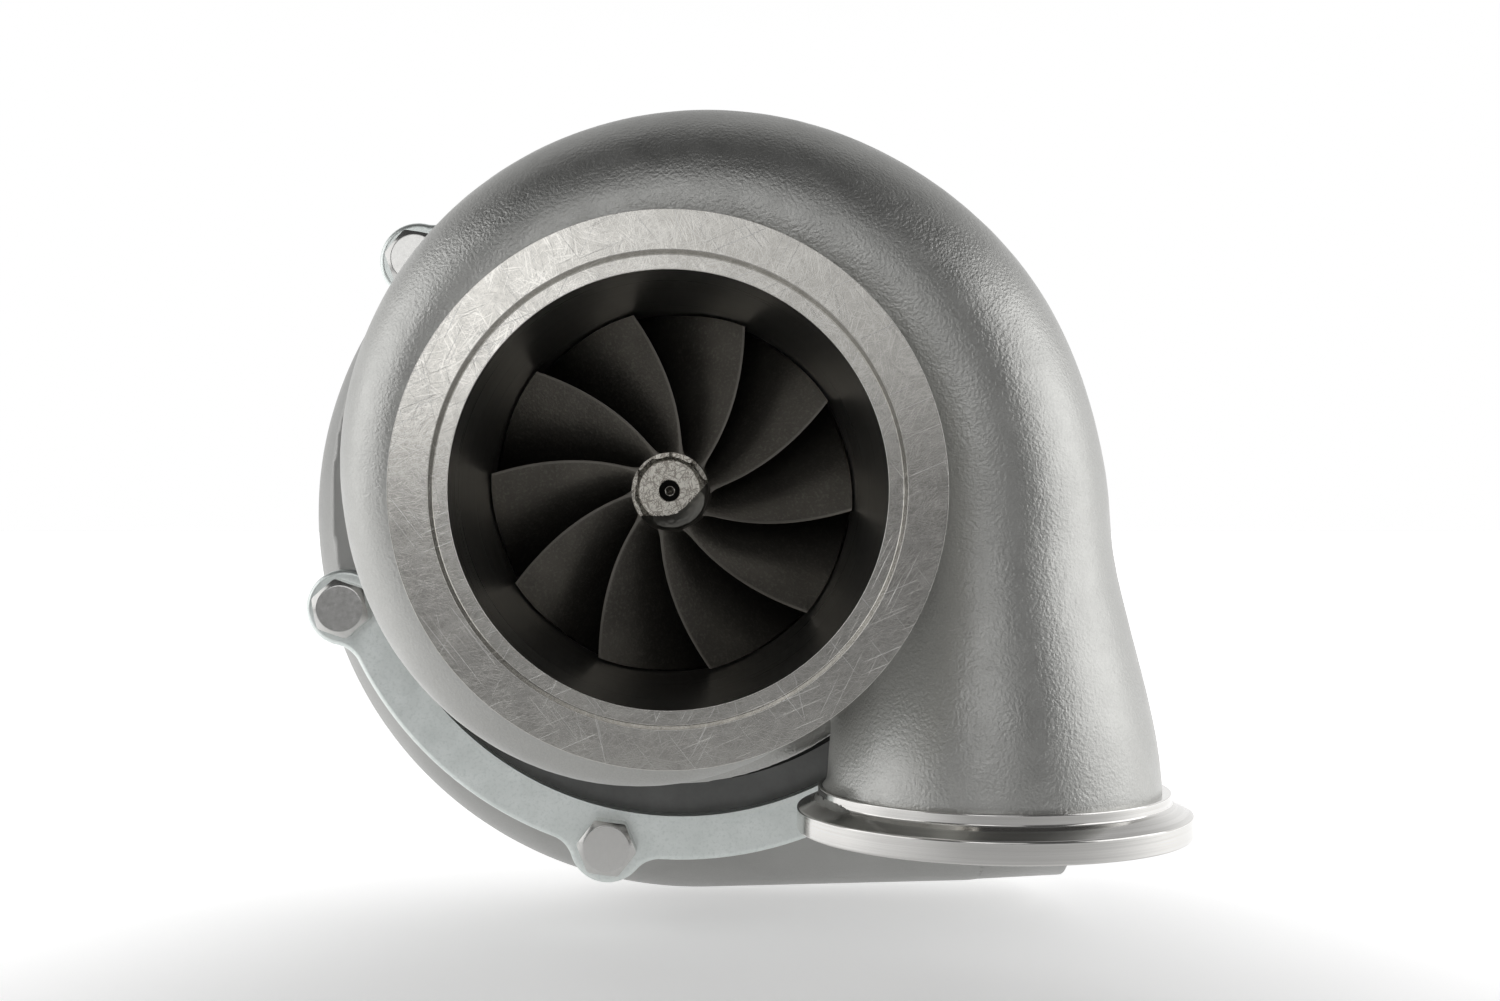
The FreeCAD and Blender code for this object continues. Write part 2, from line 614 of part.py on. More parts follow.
def turbine_housing_bolts():
    bolt = m8_bolt(T_REAR_Y + SEGMENT_THICK, SEGMENT_THICK + SEGMENT_BOLT_REACH, 1)
    return Part.Compound(ring_of(bolt, SEGMENT_BOLT_R, SEGMENT_BOLTS))


def backplate():
    outline = [(9.1, CH_REAR_Y), (PLATE_HUB_R, CH_REAR_Y), (PLATE_HUB_R + 4, PLATE_STEP_Y), (PLATE_RIM_IN_R - 1, PLATE_STEP_Y),
               (PLATE_RIM_IN_R, PLATE_RIM_Y), (PLATE_RIM_R, PLATE_RIM_Y), (PLATE_RIM_R, PLATE_STEP_Y),
               (PLATE_PILOT_R, PLATE_STEP_Y), (PLATE_PILOT_R, DIFFUSER_Y), (9.1, DIFFUSER_Y)]
    ring_seat = tube(PLATE_PILOT_R - 1.8, PLATE_PILOT_R + 1, 122.6, 125.0)
    face_seat = tube(30.0, 32.4, CH_REAR_Y - 1, CH_REAR_Y + 1.4)
    slinger_room = tube(8.0, 12.5, CH_REAR_Y - 1, CH_REAR_Y + 1.5)
    screw = [rod(3.2, Vector(PLATE_SCREW_R, CH_REAR_Y - 1, 0), Vector(0, 1, 0), 20),
             rod(5.4, Vector(PLATE_SCREW_R, DIFFUSER_Y - 6.4, 0), Vector(0, 1, 0), 10)]
    cuts = [turned(s, a) for s in screw for a in PLATE_SCREWS]
    return lathe(outline).cut(cuts + [ring_seat, face_seat, slinger_room])


def backplate_screws():
    """M6 socket-head screws, sunk below the diffuser face."""
    seat = DIFFUSER_Y - 6.4
    head = disc(5.0, seat, seat + 6.0).cut(hexagon(5.0, seat + 2.6, seat + 7))
    screw = head.fuse(rod(2.45, Vector(0, seat, 0), Vector(0, -1, 0), 13)).removeSplitter()
    return Part.Compound(ring_of(screw, PLATE_SCREW_R, PLATE_SCREWS))


def o_ring(radius, thick, y):
    return Part.makeTorus(radius, thick, Vector(0, y, 0), Vector(0, 1, 0))


# ---- compressor cover, clamp plates and bolts ---------------------------------

def compressor_scroll(thin):
    """Scroll from its tongue to the outlet pipe."""
    wires = []
    count = 14
    for i in range(count + 1):
        t = i / count
        angle = C_VOLUTE_START + (C_VOLUTE_END - C_VOLUTE_START) * t
        radius = C_SECTION_START + (C_SECTION_END - C_SECTION_START) * t
        out_r = C_VOLUTE_OUT_R + C_VOLUTE_GAIN * (angle - C_VOLUTE_MID)
        wires.append(section(radius - thin, out_r - radius, C_VOLUTE_FRONT_Y + radius, angle))
    return loft(wires)


def outlet_start():
    """Centre of the last scroll section and the way the outlet pipe points."""
    out_r = C_VOLUTE_OUT_R + C_VOLUTE_GAIN * (C_VOLUTE_END - C_VOLUTE_MID)
    centre = polar(out_r - C_SECTION_END, C_VOLUTE_END, C_VOLUTE_FRONT_Y + C_SECTION_END)
    return centre, polar(1, C_VOLUTE_END + 90, 0)


def outlet_pipe(start_r, end_r, hose_r, extra):
    """Long slightly opening pipe, then the straight end that the hose is pushed over."""
    centre, along = outlet_start()
    length = (C_PIPE_END_X - centre.x) / along.x - C_HOSE_LENGTH
    cone = Part.makeCone(start_r, end_r, length, centre, along)
    pipe = rod(hose_r, centre + along * length, along, C_HOSE_LENGTH + extra)
    return cone.fuse(pipe)


def compressor_cavity():
    """Inlet cone, wheel chamber, diffuser with its throat to the scroll, and the seat for the backplate."""
    shroud = compressor_shroud(C_RUNNING_GAP)
    mouth = [(0, C_INLET_END_Y + 1), (C_INLET_BORE_R, C_INLET_END_Y + 1), (C_INLET_BORE_R, C_INLET_BORE_Y), shroud[0]]
    edges = [line(a, b) for a, b in zip(mouth, mouth[1:])]
    edges.append(spline(shroud))
    wall_y = DIFFUSER_Y + C_DIFFUSER_GAP
    seat_r = PLATE_PILOT_R + 0.05
    rim_r = PLATE_RIM_R + 0.05
    rest = [shroud[-1], (C_THROAT_R[0], wall_y), (C_THROAT_R[0], C_THROAT_Y), (C_THROAT_R[1], C_THROAT_Y),
            (C_THROAT_R[1], DIFFUSER_Y), (seat_r, DIFFUSER_Y), (seat_r, PLATE_STEP_Y), (rim_r, PLATE_STEP_Y),
            (rim_r, 110.0), (0, 110.0), (0, C_INLET_END_Y + 1)]
    edges += [line(a, b) for a, b in zip(rest, rest[1:])]
    return lathe_edges(edges)


def compressor_cover():
    flange = disc(C_FLANGE_R, PLATE_RIM_Y, PLATE_RIM_Y + C_FLANGE_THICK)
    lug = rod(C_LUG_R, Vector(BOLT_CIRCLE_R, PLATE_RIM_Y, 0), Vector(0, 1, 0), C_FLANGE_THICK + 2)
    lugs = [turned(lug, a) for a in LOWER_BOLTS + UPPER_BOLTS]
    start, stop = C_BODY_LINE[0], C_BODY_LINE[-1]
    outline = [stop, (C_INLET_R, C_INLET_END_Y), (0, C_INLET_END_Y), (0, 120.0), (start[0], 120.0), start]
    inlet_body = lathe_edges([spline(C_BODY_LINE)] + [line(a, b) for a, b in zip(outline, outline[1:])])
    pipe = outlet_pipe(C_SECTION_END, C_PIPE_R, C_HOSE_R, 0)
    outer = fuse([compressor_scroll(0), pipe, flange, inlet_body] + lugs)
    outer = outer.cut(compressor_scroll(C_WALL))
    outer = outer.cut(outlet_pipe(C_SECTION_END - C_WALL, C_PIPE_BORE_R, C_PIPE_BORE_R, 2))
    outer = outer.cut(compressor_cavity())
    hole = rod(M8_TAP_R, Vector(BOLT_CIRCLE_R, PLATE_RIM_Y - 1, 0), Vector(0, 1, 0), C_BOLT_HOLE)
    outer = outer.cut([turned(hole, a) for a in LOWER_BOLTS + UPPER_BOLTS])
    front = Part.makeBox(240, 30, 240, Vector(-120, PLATE_RIM_Y - 30, -120))
    return largest(outer.cut(front))


def ring_sector(r_in, r_out, start, stop):
    """Flat ring sector at the front of the clamp plate."""
    mid = (start + stop) / 2
    y = RING_Y
    edges = [Part.Arc(polar(r_out, start, y), polar(r_out, mid, y), polar(r_out, stop, y)).toShape(),
             Part.makeLine(polar(r_out, stop, y), polar(r_in, stop, y)),
             Part.Arc(polar(r_in, stop, y), polar(r_in, mid, y), polar(r_in, start, y)).toShape(),
             Part.makeLine(polar(r_in, start, y), polar(r_out, start, y))]
    return Part.Face(Part.Wire(edges)).extrude(Vector(0, RING_THICK, 0))


def clamp_plate(bolts):
    """Stamped half-ring with a round ear at each bolt, blended into the rim."""
    plate = [ring_sector(RING_IN_R, RING_OUT_R, bolts[0], bolts[-1])]
    plate += [rod(EAR_R, polar(BOLT_CIRCLE_R, a, RING_Y), Vector(0, 1, 0), RING_THICK) for a in bolts]
    body = fuse(plate).cut(disc(RING_IN_R, RING_Y - 1, RING_Y + RING_THICK + 1))
    corners = []
    for edge in body.Edges:
        a, b = edge.Vertexes[0].Point, edge.Vertexes[-1].Point
        upright = abs(a.y - b.y) > RING_THICK - 0.1 and edge.Length < RING_THICK + 0.1
        if upright and abs(math.hypot(a.x, a.z) - RING_OUT_R) < 0.05:
            corners.append(edge)
    body = body.makeFillet(EAR_BLEND_R, corners)
    rim = [edge for edge in body.Edges
           if all(abs(v.Point.y - RING_Y) < 0.01 for v in edge.Vertexes)
           and abs(edge.CenterOfMass.y - RING_Y) < 0.01
           and min(math.hypot(v.Point.x, v.Point.z) for v in edge.Vertexes) > RING_IN_R + 1.5]
    body = body.makeFillet(RING_EDGE_R, rim)
    holes = [rod(M8_CLEAR_R, polar(BOLT_CIRCLE_R, a, RING_Y - 1), Vector(0, 1, 0), RING_THICK + 2) for a in bolts]
    return largest(body.cut(holes))


def compressor_cover_bolts():
    bolt = m8_bolt(RING_Y, RING_THICK + C_BOLT_REACH, -1)
    return Part.Compound(ring_of(bolt, BOLT_CIRCLE_R, LOWER_BOLTS + UPPER_BOLTS))


def compressor_lock_nut():
    y0 = C_HUB_END_Y
    collar = disc(8.0, y0, y0 + 1.6)
    head = hex_head(NUT_FLATS, 5.6, y0 + 1.6, NUT_HEIGHT - 1.6, 1)
    return collar.fuse(head).removeSplitter().cut(disc(SHAFT_STUB_R, y0 - 1, y0 + NUT_HEIGHT + 1))


# ---- the whole machine --------------------------------------------------------

def build():
    os.makedirs("parts", exist_ok=True)
    middle = (CARTRIDGE_Y[0] + CARTRIDGE_Y[1]) / 2
    save("turbine_housing", turbine_housing())
    save("turbine_wheel", turbine_wheel())
    save("rotor_shaft", rotor_shaft())
    save("turbine_seal_ring", split_ring(8.0, SEAL_BORE_R - 0.02, 78.6, 80.0, 60, 0.3))
    save("heat_shield", heat_shield())
    save("turbine_clamp_segments", clamp_segments())
    save("turbine_housing_bolts", turbine_housing_bolts())
    save("center_housing", center_housing())
    save("bearing_outer_sleeve", bearing_outer_sleeve())
    save("turbine_inner_race", inner_race(CARTRIDGE_Y[0], middle, BALL_Y[0]))
    save("compressor_inner_race", inner_race(middle, CARTRIDGE_Y[1], BALL_Y[1]))
    save("turbine_bearing_balls", bearing_balls(BALL_Y[0]))
    save("compressor_bearing_balls", bearing_balls(BALL_Y[1]))
    save("turbine_bearing_cage", bearing_cage(BALL_Y[0]))
    save("compressor_bearing_cage", bearing_cage(BALL_Y[1]))
    save("bearing_locating_pin", rod(1.95, polar(13.4, PIN_ANGLE, FEED_Y), polar(1, PIN_ANGLE, 0), 14))
    save("bearing_retaining_ring", split_ring(12.6, 16.5, 108.0, 109.5, 90, 5.0))
    save("oil_slinger_collar", oil_slinger_collar())
    save("compressor_seal_ring", split_ring(7.7, 9.08, 119.2, 120.6, 240, 0.3))
    save("backplate", backplate())
    save("backplate_screws", backplate_screws())
    save("backplate_face_seal", o_ring(31.2, 0.7, CH_REAR_Y + 0.7))
    save("cover_o_ring", o_ring(PLATE_PILOT_R - 0.85, 0.85, 123.8))
    save("compressor_wheel", compressor_wheel())
    save("compressor_lock_nut", compressor_lock_nut())
    save("compressor_cover", compressor_cover())
    save("clamp_plate_lower", clamp_plate(LOWER_BOLTS))
    save("clamp_plate_upper", clamp_plate(UPPER_BOLTS))
    save("compressor_cover_bolts", compressor_cover_bolts())


build()
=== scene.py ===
import json
import math

import bmesh
import bpy
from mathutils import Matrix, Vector, noise


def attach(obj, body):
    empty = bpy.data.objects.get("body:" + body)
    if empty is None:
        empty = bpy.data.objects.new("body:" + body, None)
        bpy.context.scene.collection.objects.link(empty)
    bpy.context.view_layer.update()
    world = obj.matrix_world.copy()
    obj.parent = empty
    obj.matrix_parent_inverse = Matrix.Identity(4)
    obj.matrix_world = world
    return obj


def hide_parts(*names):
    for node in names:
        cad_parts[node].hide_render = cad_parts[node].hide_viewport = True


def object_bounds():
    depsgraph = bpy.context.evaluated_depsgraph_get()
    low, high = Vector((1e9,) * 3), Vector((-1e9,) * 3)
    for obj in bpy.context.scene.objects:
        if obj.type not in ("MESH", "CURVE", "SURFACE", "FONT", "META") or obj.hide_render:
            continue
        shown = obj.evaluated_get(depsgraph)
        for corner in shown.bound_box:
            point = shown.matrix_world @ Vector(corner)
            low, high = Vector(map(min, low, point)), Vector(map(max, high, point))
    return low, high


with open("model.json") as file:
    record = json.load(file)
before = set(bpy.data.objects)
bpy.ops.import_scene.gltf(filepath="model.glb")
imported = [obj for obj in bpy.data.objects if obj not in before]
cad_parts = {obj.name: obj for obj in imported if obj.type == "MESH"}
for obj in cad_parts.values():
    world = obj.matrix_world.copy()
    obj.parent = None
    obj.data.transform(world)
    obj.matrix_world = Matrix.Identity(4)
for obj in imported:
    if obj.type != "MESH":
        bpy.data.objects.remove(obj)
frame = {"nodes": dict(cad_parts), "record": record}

MM = 0.001
cad_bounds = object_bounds()

# ---- turbine housing, as in the CAD model ---------------------------------------
OUTLET_RIM_R = 46.4
OUTLET_NECK_R = 41.5
RIM_BACK_Y = 4.3
REGISTER_R = 39.2
REGISTER_DEPTH = 2.2
MOUTH_R = 36.7
SHROUD_GAP = 0.45
SHROUD = [(32.5, 26.0), (32.6, 36.0), (33.6, 44.0), (36.0, 50.0)]
INLET_AXIS = Vector((62.6, 58.0, 0.0))
INLET_FACE_Z = -66.0
INLET_RIM_R = 38.6
INLET_RIM_WIDTH = 4.25
INLET_CONE_RISE = 2.0
INLET_COLLAR_R = 34.4
INLET_COLLAR_TOP_Z = -57.6
INLET_NECK_R = 32.65
INLET_BORE_R = 28.5

# ---- turbine housing, finer than the CAD model ----------------------------------
BORE_SLEEVE_R = 38.5
SCROLL_TAIL = (185, 300)
SCROLL_TAIL_SWELL = 1.3
SCROLL_INNER_R = 47
SCROLL_HALF_WIDTH = 22
STEP_TAPER = 0.45

# ---- turbine wheel, as in the CAD model -----------------------------------------
NOSE_R = 6.7
NOSE_Y = 10.0
DRILL_R = 1.8
WHEEL_BLADES = 10
FIRST_BLADE = 102.6
WRAP = 48.0
WRAP_LENGTH = 14.0
WRAP_FROM_Y = 26.0
ROOT_Y = 21.0
HUB_LINE = [(6.9, 20.0), (7.8, 30.0), (10.5, 42.0), (16.0, 52.0), (24.0, 59.0), (33.0, 62.6)]

# ---- turbine wheel, finer than the CAD model ------------------------------------
# Each chord of the balance cut is (direction, distance from the axis).
# Each ground flat is (direction, half its spread, distance from the axis).
DRILL_DEPTH = 3.4
BALANCE_CUT = [(-43, 3.8), (-90, 4.25)]
NOSE_FLATS = [(172, 24, 5.75), (132, 14, 6.0), (104, 13, 5.8), (70, 17, 5.7), (34, 17, 5.9), (208, 13, 5.9)]
HUB_BACK = [(33.5, 63.6), (22.0, 65.4), (10.3, 66.2), (9.3, 67.0), (0.01, 67.0), (0.01, 17.0), (6.4, 17.0)]
BLADE_ROOT_LINE = [(7.3, 30.0), (9.9, 42.0), (15.3, 52.4), (23.4, 59.6), (33.0, 63.2), (35.8, 63.0)]
BLADE_ROOT_WIDTH = 2.35
BLADE_THINNING = 0.045
BLADE_EDGE_WIDTH = 0.5
BLADE_EDGE_BLEND = 0.09

# ---- compressor cover, as in the CAD model --------------------------------------
COVER_SPIGOT_R = 50.8
COVER_SPIGOT_END_Y = 208.0
COVER_BORE_R = 47.6
COVER_BORE_Y = 197.0
HOSE_R = 31.75
HOSE_LENGTH = 22.0
PIPE_BORE_R = 28.0
PIPE_END_X = 92.5
PIPE_RISE = math.radians(3)
SCROLL_END_R = 90.0 + 0.0713 * (273 - 165) - 30.2
PIPE_START = Vector((SCROLL_END_R * math.sin(PIPE_RISE), 157.2, -SCROLL_END_R * math.cos(PIPE_RISE)))

# ---- bolts ----------------------------------------------------------------------
BOLT_FLATS = 12.0
BOLT_CORNER_CUT = 0.12
BOLT_CHAMFER = math.radians(30)
BOLT_FACE_R = 5.3
BOLT_HEAD = 5.3
BOLT_SHANK_R = 3.95
BOLT_END_CHAMFER = 0.4
BOLT_TURNS = (-7, 4, 11, -3, 8, 2)
STEPS_PER_FLAT = 16
BOLT_RING = 6 * STEPS_PER_FLAT
COVER_BOLT_CIRCLE = 81.2
COVER_BOLT_ANGLES = (198, 258, 318, 12, 75, 138)
COVER_BOLT_SEAT_Y = 113.0
COVER_BOLT_REACH = 14.0
SEGMENT_BOLT_CIRCLE = 52.8
SEGMENT_BOLT_ANGLES = tuple(22.5 + 45 * i for i in range(8))
SEGMENT_BOLT_SEAT_Y = 91.5
SEGMENT_BOLT_REACH = 10.5

# ---- stage, in metres -----------------------------------------------------------
# Each floor fade is (from, to, value at from, value at to).
FLOOR_R = 14.0
FLOOR_CLEARANCE = 0.002
# The floor's glow fades are painted light: nearly none in front of the object, bright behind it.
FLOOR_GLOW_NEAR = (-0.16, 0.11, 0.02, 0.76)
FLOOR_GLOW_FAR = (0.5, 3.0, 0.0, 0.24)
# Painted shadow: the floor glows less in a round patch beneath the object.
FLOOR_PAINTED_SHADOW = (0.05, 0.22, 0.42, 1.0)
FLOOR_PAINTED_SHADOW_CENTRE = (0.01, 0.06)
# Painted pool of light: a round patch of extra floor glow to the left of the object, a little in front.
FLOOR_GLOW_BESIDE = (0.06, 0.34, 0.5, 0.0)
FLOOR_BESIDE_CENTRE = (-0.33, -0.12)
# Painted shade: the floor colour is darker in front of the object than behind it.
FLOOR_PAINTED_SHADE_FRONT = (-0.5, -0.1, 0.3, 0.9)
SOFTBOXES = [
    ("key_softbox", (-0.13, -1.38, 0.54), (0.98, 0.90), 1.7),
    ("small_softbox", (-0.30, -1.30, 0.20), (0.40, 0.32), 0.36),
    ("left_softbox", (-1.17, -0.25, 0.40), (1.2, 1.0), 4.5),
    ("right_softbox", (1.18, -0.22, 0.40), (1.25, 1.0), 5.4),
]
SOFTBOX_TARGET = Vector((0.0, 0.05, 0.0))
CAMERA_PLACE = (0.00795, -0.2907, -0.005)
CAMERA_LENS = 42.3
CAMERA_SHIFT = (0.0227, 0.013)

# ---- mesh helpers ---------------------------------------------------------------

def add_object(name, data):
    obj = bpy.data.objects.new(name, data)
    bpy.context.scene.collection.objects.link(obj)
    return obj


def mesh_object(name, bm):
    """Object made from a finished bmesh."""
    mesh = bpy.data.meshes.new(name)
    bm.to_mesh(mesh)
    bm.free()
    return add_object(name, mesh)


def rounded(points, radius, steps=4):
    """Closed outline with each corner replaced by a small arc, held by a point just before and after it."""
    out = []
    count = len(points)
    for i, corner in enumerate(points):
        here = Vector(corner)
        before = Vector(points[i - 1]) - here
        after = Vector(points[(i + 1) % count]) - here
        reach = min(radius, before.length * 0.4, after.length * 0.4)
        start = here + before.normalized() * reach
        stop = here + after.normalized() * reach
        out.append(start + before.normalized() * 0.2 * reach)
        for k in range(steps + 1):
            t = k / steps
            out.append(start * (1 - t) ** 2 + here * 2 * t * (1 - t) + stop * t ** 2)
        out.append(stop + after.normalized() * 0.2 * reach)
    return out


def lathe(name, outline, origin, axis, start, segments=256):
    """Turned piece from a closed outline of (radius, along) millimetres about an axis."""
    axis = Vector(axis).normalized()
    side = Vector(start).normalized()
    other = axis.cross(side)
    bm = bmesh.new()
    rings = []
    for k in range(segments):
        a = 2 * math.pi * k / segments
        out = side * math.cos(a) + other * math.sin(a)
        rings.append([bm.verts.new((Vector(origin) + out * r + axis * h) * MM) for r, h in outline])
    size = len(outline)
    for k in range(segments):
        here, there = rings[k], rings[(k + 1) % segments]
        for i in range(size):
            j = (i + 1) % size
            bm.faces.new((here[i], here[j], there[j], there[i]))
    bmesh.ops.recalc_face_normals(bm, faces=bm.faces)
    finish_mesh(bm, 28)
    return mesh_object(name, bm)


def rotor_lathe(name, outline, segments):
    """Turned piece about the rotor axis from a closed outline of (radius, y)."""
    return lathe(name, outline, (0, 0, 0), (0, 1, 0), (1, 0, 0), segments)


def finish_mesh(bm, sharp_degrees):
    """Smooth shading with crisp edges where the surface turns sharply."""
    limit = math.radians(sharp_degrees)
    for face in bm.faces:
        face.smooth = True
    for edge in bm.edges:
        edge.smooth = not (edge.is_manifold and edge.calc_face_angle(0) > limit)


def applied(obj):
    """The object's mesh with its modifiers worked in."""
    graph = bpy.context.evaluated_depsgraph_get()
    mesh = bpy.data.meshes.new_from_object(obj.evaluated_get(graph))
    obj.modifiers.clear()
    obj.data = mesh
    return mesh


def cast_copy(node, name, voxel, smooth_steps, tuck=None, drop=None):
    """A softened casting made from a CAD node: remeshed, smoothed, with machined zones taken out."""
    mesh = frame["nodes"][node].data.copy()
    mesh.name = name
    mesh.materials.clear()
    if tuck:
        for vert in mesh.vertices:
            vert.co = tuck(vert.co / MM) * MM
    obj = add_object(name, mesh)
    remesh = obj.modifiers.new("voxels", "REMESH")
    remesh.mode = "VOXEL"
    remesh.voxel_size = voxel * MM
    soften = obj.modifiers.new("soften", "SMOOTH")
    soften.factor = 0.5
    soften.iterations = smooth_steps
    mesh = applied(obj)
    bm = bmesh.new()
    bm.from_mesh(mesh)
    if drop:
        gone = [face for face in bm.faces if drop(face.calc_center_median() / MM)]
        bmesh.ops.delete(bm, geom=gone, context="FACES")
    finish_mesh(bm, 60)
    bm.to_mesh(mesh)
    bm.free()
    return obj


def pebble(obj, deep, wave):
    """Slight hammered waviness of a cast skin, as real relief."""
    mesh = obj.data
    normals = [vert.normal.copy() for vert in mesh.vertices]
    for vert, normal in zip(mesh.vertices, normals):
        spot = vert.co / (wave * MM)
        vert.co += normal * (noise.noise(spot) + 0.6 * noise.noise(spot * 0.45)) * deep * MM


def smooth_share(t):
    t = max(0.0, min(1.0, t))
    return t * t * (3 - 2 * t)


def axis_radius(p):
    return math.hypot(p.x, p.z)


def inlet_radius(p):
    return math.hypot(p.x - INLET_AXIS.x, p.y - INLET_AXIS.y)


def smooth_line(points, steps):
    """Smooth curve through points of any size, with a number of steps between each two."""
    points = [Vector(p) for p in points]
    ends = [points[0] * 2 - points[1]] + points + [points[-1] * 2 - points[-2]]
    out = []
    for p0, p1, p2, p3 in zip(ends, ends[1:], ends[2:], ends[3:]):
        for k in range(steps):
            t = k / steps
            out.append(0.5 * (2 * p1 + (p2 - p0) * t + (2 * p0 - 5 * p1 + 4 * p2 - p3) * t ** 2
                              + (3 * p1 - p0 - 3 * p2 + p3) * t ** 3))
    out.append(points[-1])
    return out


def along_line(line, t):
    """Point at a share of the way along a line."""
    place = t * (len(line) - 1)
    i = min(int(place), len(line) - 2)
    return line[i].lerp(line[i + 1], place - i)


# ---- materials ------------------------------------------------------------------

class Paint:
    """One procedural material; each method adds nodes and returns the output to use."""

    def __init__(self, name, color, metallic, roughness):
        self.material = bpy.data.materials.new(name)
        self.material.use_nodes = True
        self.tree = self.material.node_tree
        self.shader = self.tree.nodes["Principled BSDF"]
        self.shader.inputs["Base Color"].default_value = (*color, 1)
        self.shader.inputs["Metallic"].default_value = metallic
        self.shader.inputs["Roughness"].default_value = roughness
        self.place = self.tree.nodes.new("ShaderNodeTexCoord").outputs["Object"]

    def node(self, kind, **values):
        node = self.tree.nodes.new(kind)
        for key, value in values.items():
            setattr(node, key, value)
        return node

    def link(self, out, socket):
        self.tree.links.new(out, socket)

    def stretched(self, scale):
        mapping = self.node("ShaderNodeMapping")
        mapping.inputs["Scale"].default_value = scale
        self.link(self.place, mapping.inputs["Vector"])
        return mapping.outputs["Vector"]

    def noise(self, scale, detail=3.0, rough=0.5, where=None):
        tex = self.node("ShaderNodeTexNoise")
        tex.inputs["Scale"].default_value = scale
        tex.inputs["Detail"].default_value = detail
        tex.inputs["Roughness"].default_value = rough
        self.link(where or self.place, tex.inputs["Vector"])
        return tex.outputs["Fac"]

    def ramp(self, value, stops):
        ramp = self.node("ShaderNodeValToRGB")
        elements = ramp.color_ramp.elements
        elements[0].position, elements[1].position = stops[0][0], stops[-1][0]
        for position, _ in stops[1:-1]:
            elements.new(position)
        for element, (position, shade) in zip(elements, stops):
            element.position = position
            element.color = (*shade, 1) if isinstance(shade, tuple) else (shade, shade, shade, 1)
        self.link(value, ramp.inputs["Fac"])
        return ramp.outputs["Color"]

    def math(self, operation, a, b=None):
        node = self.node("ShaderNodeMath", operation=operation)
        for socket, value in zip(node.inputs, (a, b)):
            if value is None:
                continue
            if isinstance(value, (int, float)):
                socket.default_value = value
            else:
                self.link(value, socket)
        return node.outputs[0]

    def fade(self, value, start, stop, low, high):
        node = self.node("ShaderNodeMapRange", interpolation_type="SMOOTHSTEP")
        for key, number in (("From Min", start), ("From Max", stop), ("To Min", low), ("To Max", high)):
            node.inputs[key].default_value = number
        self.link(value, node.inputs["Value"])
        return node.outputs["Result"]

    def mix(self, factor, a, b):
        node = self.node("ShaderNodeMix", data_type="RGBA")
        sockets = {s.identifier: s for s in node.inputs}
        for key, value in (("Factor_Float", factor), ("A_Color", a), ("B_Color", b)):
            if isinstance(value, (int, float)):
                sockets[key].default_value = value
            elif isinstance(value, tuple):
                sockets[key].default_value = (*value, 1)
            else:
                self.link(value, sockets[key])
        return next(s for s in node.outputs if s.identifier == "Result_Color")

    def bump(self, height, depth_mm, strength=1.0, below=None):
        node = self.node("ShaderNodeBump")
        node.inputs["Strength"].default_value = strength
        node.inputs["Distance"].default_value = depth_mm * MM
        self.link(height, node.inputs["Height"])
        if below:
            self.link(below, node.inputs["Normal"])
        return node.outputs["Normal"]

    def color(self, out):
        self.link(out, self.shader.inputs["Base Color"])

    def rough(self, out):
        self.link(out, self.shader.inputs["Roughness"])

    def normal(self, out):
        self.link(out, self.shader.inputs["Normal"])

    def scratches(self, turns, length, width, threshold):
        """Mask of sparse fine lines on faces across Y, at several angles; length and width in millimetres."""
        total = None
        for turn in turns:
            spin = self.node("ShaderNodeMapping")
            spin.inputs["Rotation"].default_value = (0, math.radians(turn), 0)
            spin.inputs["Location"].default_value = (turn * MM, 0, 0)
            self.link(self.place, spin.inputs["Vector"])
            size = self.node("ShaderNodeMapping")
            size.inputs["Scale"].default_value = (1 / (length * MM), 40, 1 / (width * MM))
            self.link(spin.outputs["Vector"], size.inputs["Vector"])
            lines = self.noise(1.0, 1.0, 0.4, size.outputs["Vector"])
            mask = self.ramp(lines, [(threshold, 0.0), (threshold + 0.05, 1.0)])
            total = mask if total is None else self.math("MAXIMUM", total, mask)
        return total


def cast_stainless():
    """Sand-blasted investment casting: leathery skin with a fine grain."""
    p = Paint("cast_stainless", (0.50, 0.50, 0.48), 1.0, 0.37)
    shade = p.ramp(p.noise(28, 4, 0.6), [(0.3, (0.455, 0.455, 0.44)), (0.7, (0.495, 0.495, 0.48))])
    grain = p.noise(3000, 2, 0.6)
    p.color(p.mix(p.ramp(grain, [(0.42, 0.0), (0.7, 0.5)]), shade, (0.56, 0.56, 0.54)))
    p.rough(p.ramp(p.noise(160, 3, 0.6), [(0.3, 0.33), (0.7, 0.42)]))
    leather = p.bump(p.noise(1600, 1.5, 0.5), 0.13, 0.8)
    p.normal(p.bump(grain, 0.05, 0.8, leather))
    return p.material


def turned_stainless():
    """Machined flange face: pale and slightly warm, with a fine crossed finish and a few longer scratches."""
    p = Paint("turned_stainless", (0.64, 0.624, 0.585), 1.0, 0.2)
    base = p.ramp(p.noise(420, 5, 0.7), [(0.32, (0.57, 0.555, 0.52)), (0.68, (0.70, 0.683, 0.643))])
    hatch = p.scratches((8, 31, 52, 74, 99, 118, 141, 166), 8, 0.2, 0.6)
    marks = p.scratches((23, 64, 103, 128), 20, 0.22, 0.7)
    hatched = p.mix(p.math("MULTIPLY", hatch, 0.38), base, (0.86, 0.845, 0.81))
    p.color(p.mix(marks, hatched, (0.84, 0.83, 0.81)))
    p.rough(p.ramp(p.noise(240, 3, 0.6), [(0.3, 0.16), (0.7, 0.23)]))
    satin = p.bump(hatch, 0.006, 0.6, p.bump(p.noise(1700, 2, 0.6), 0.006, 0.6))
    p.normal(p.bump(marks, 0.02, 0.6, satin))
    return p.material


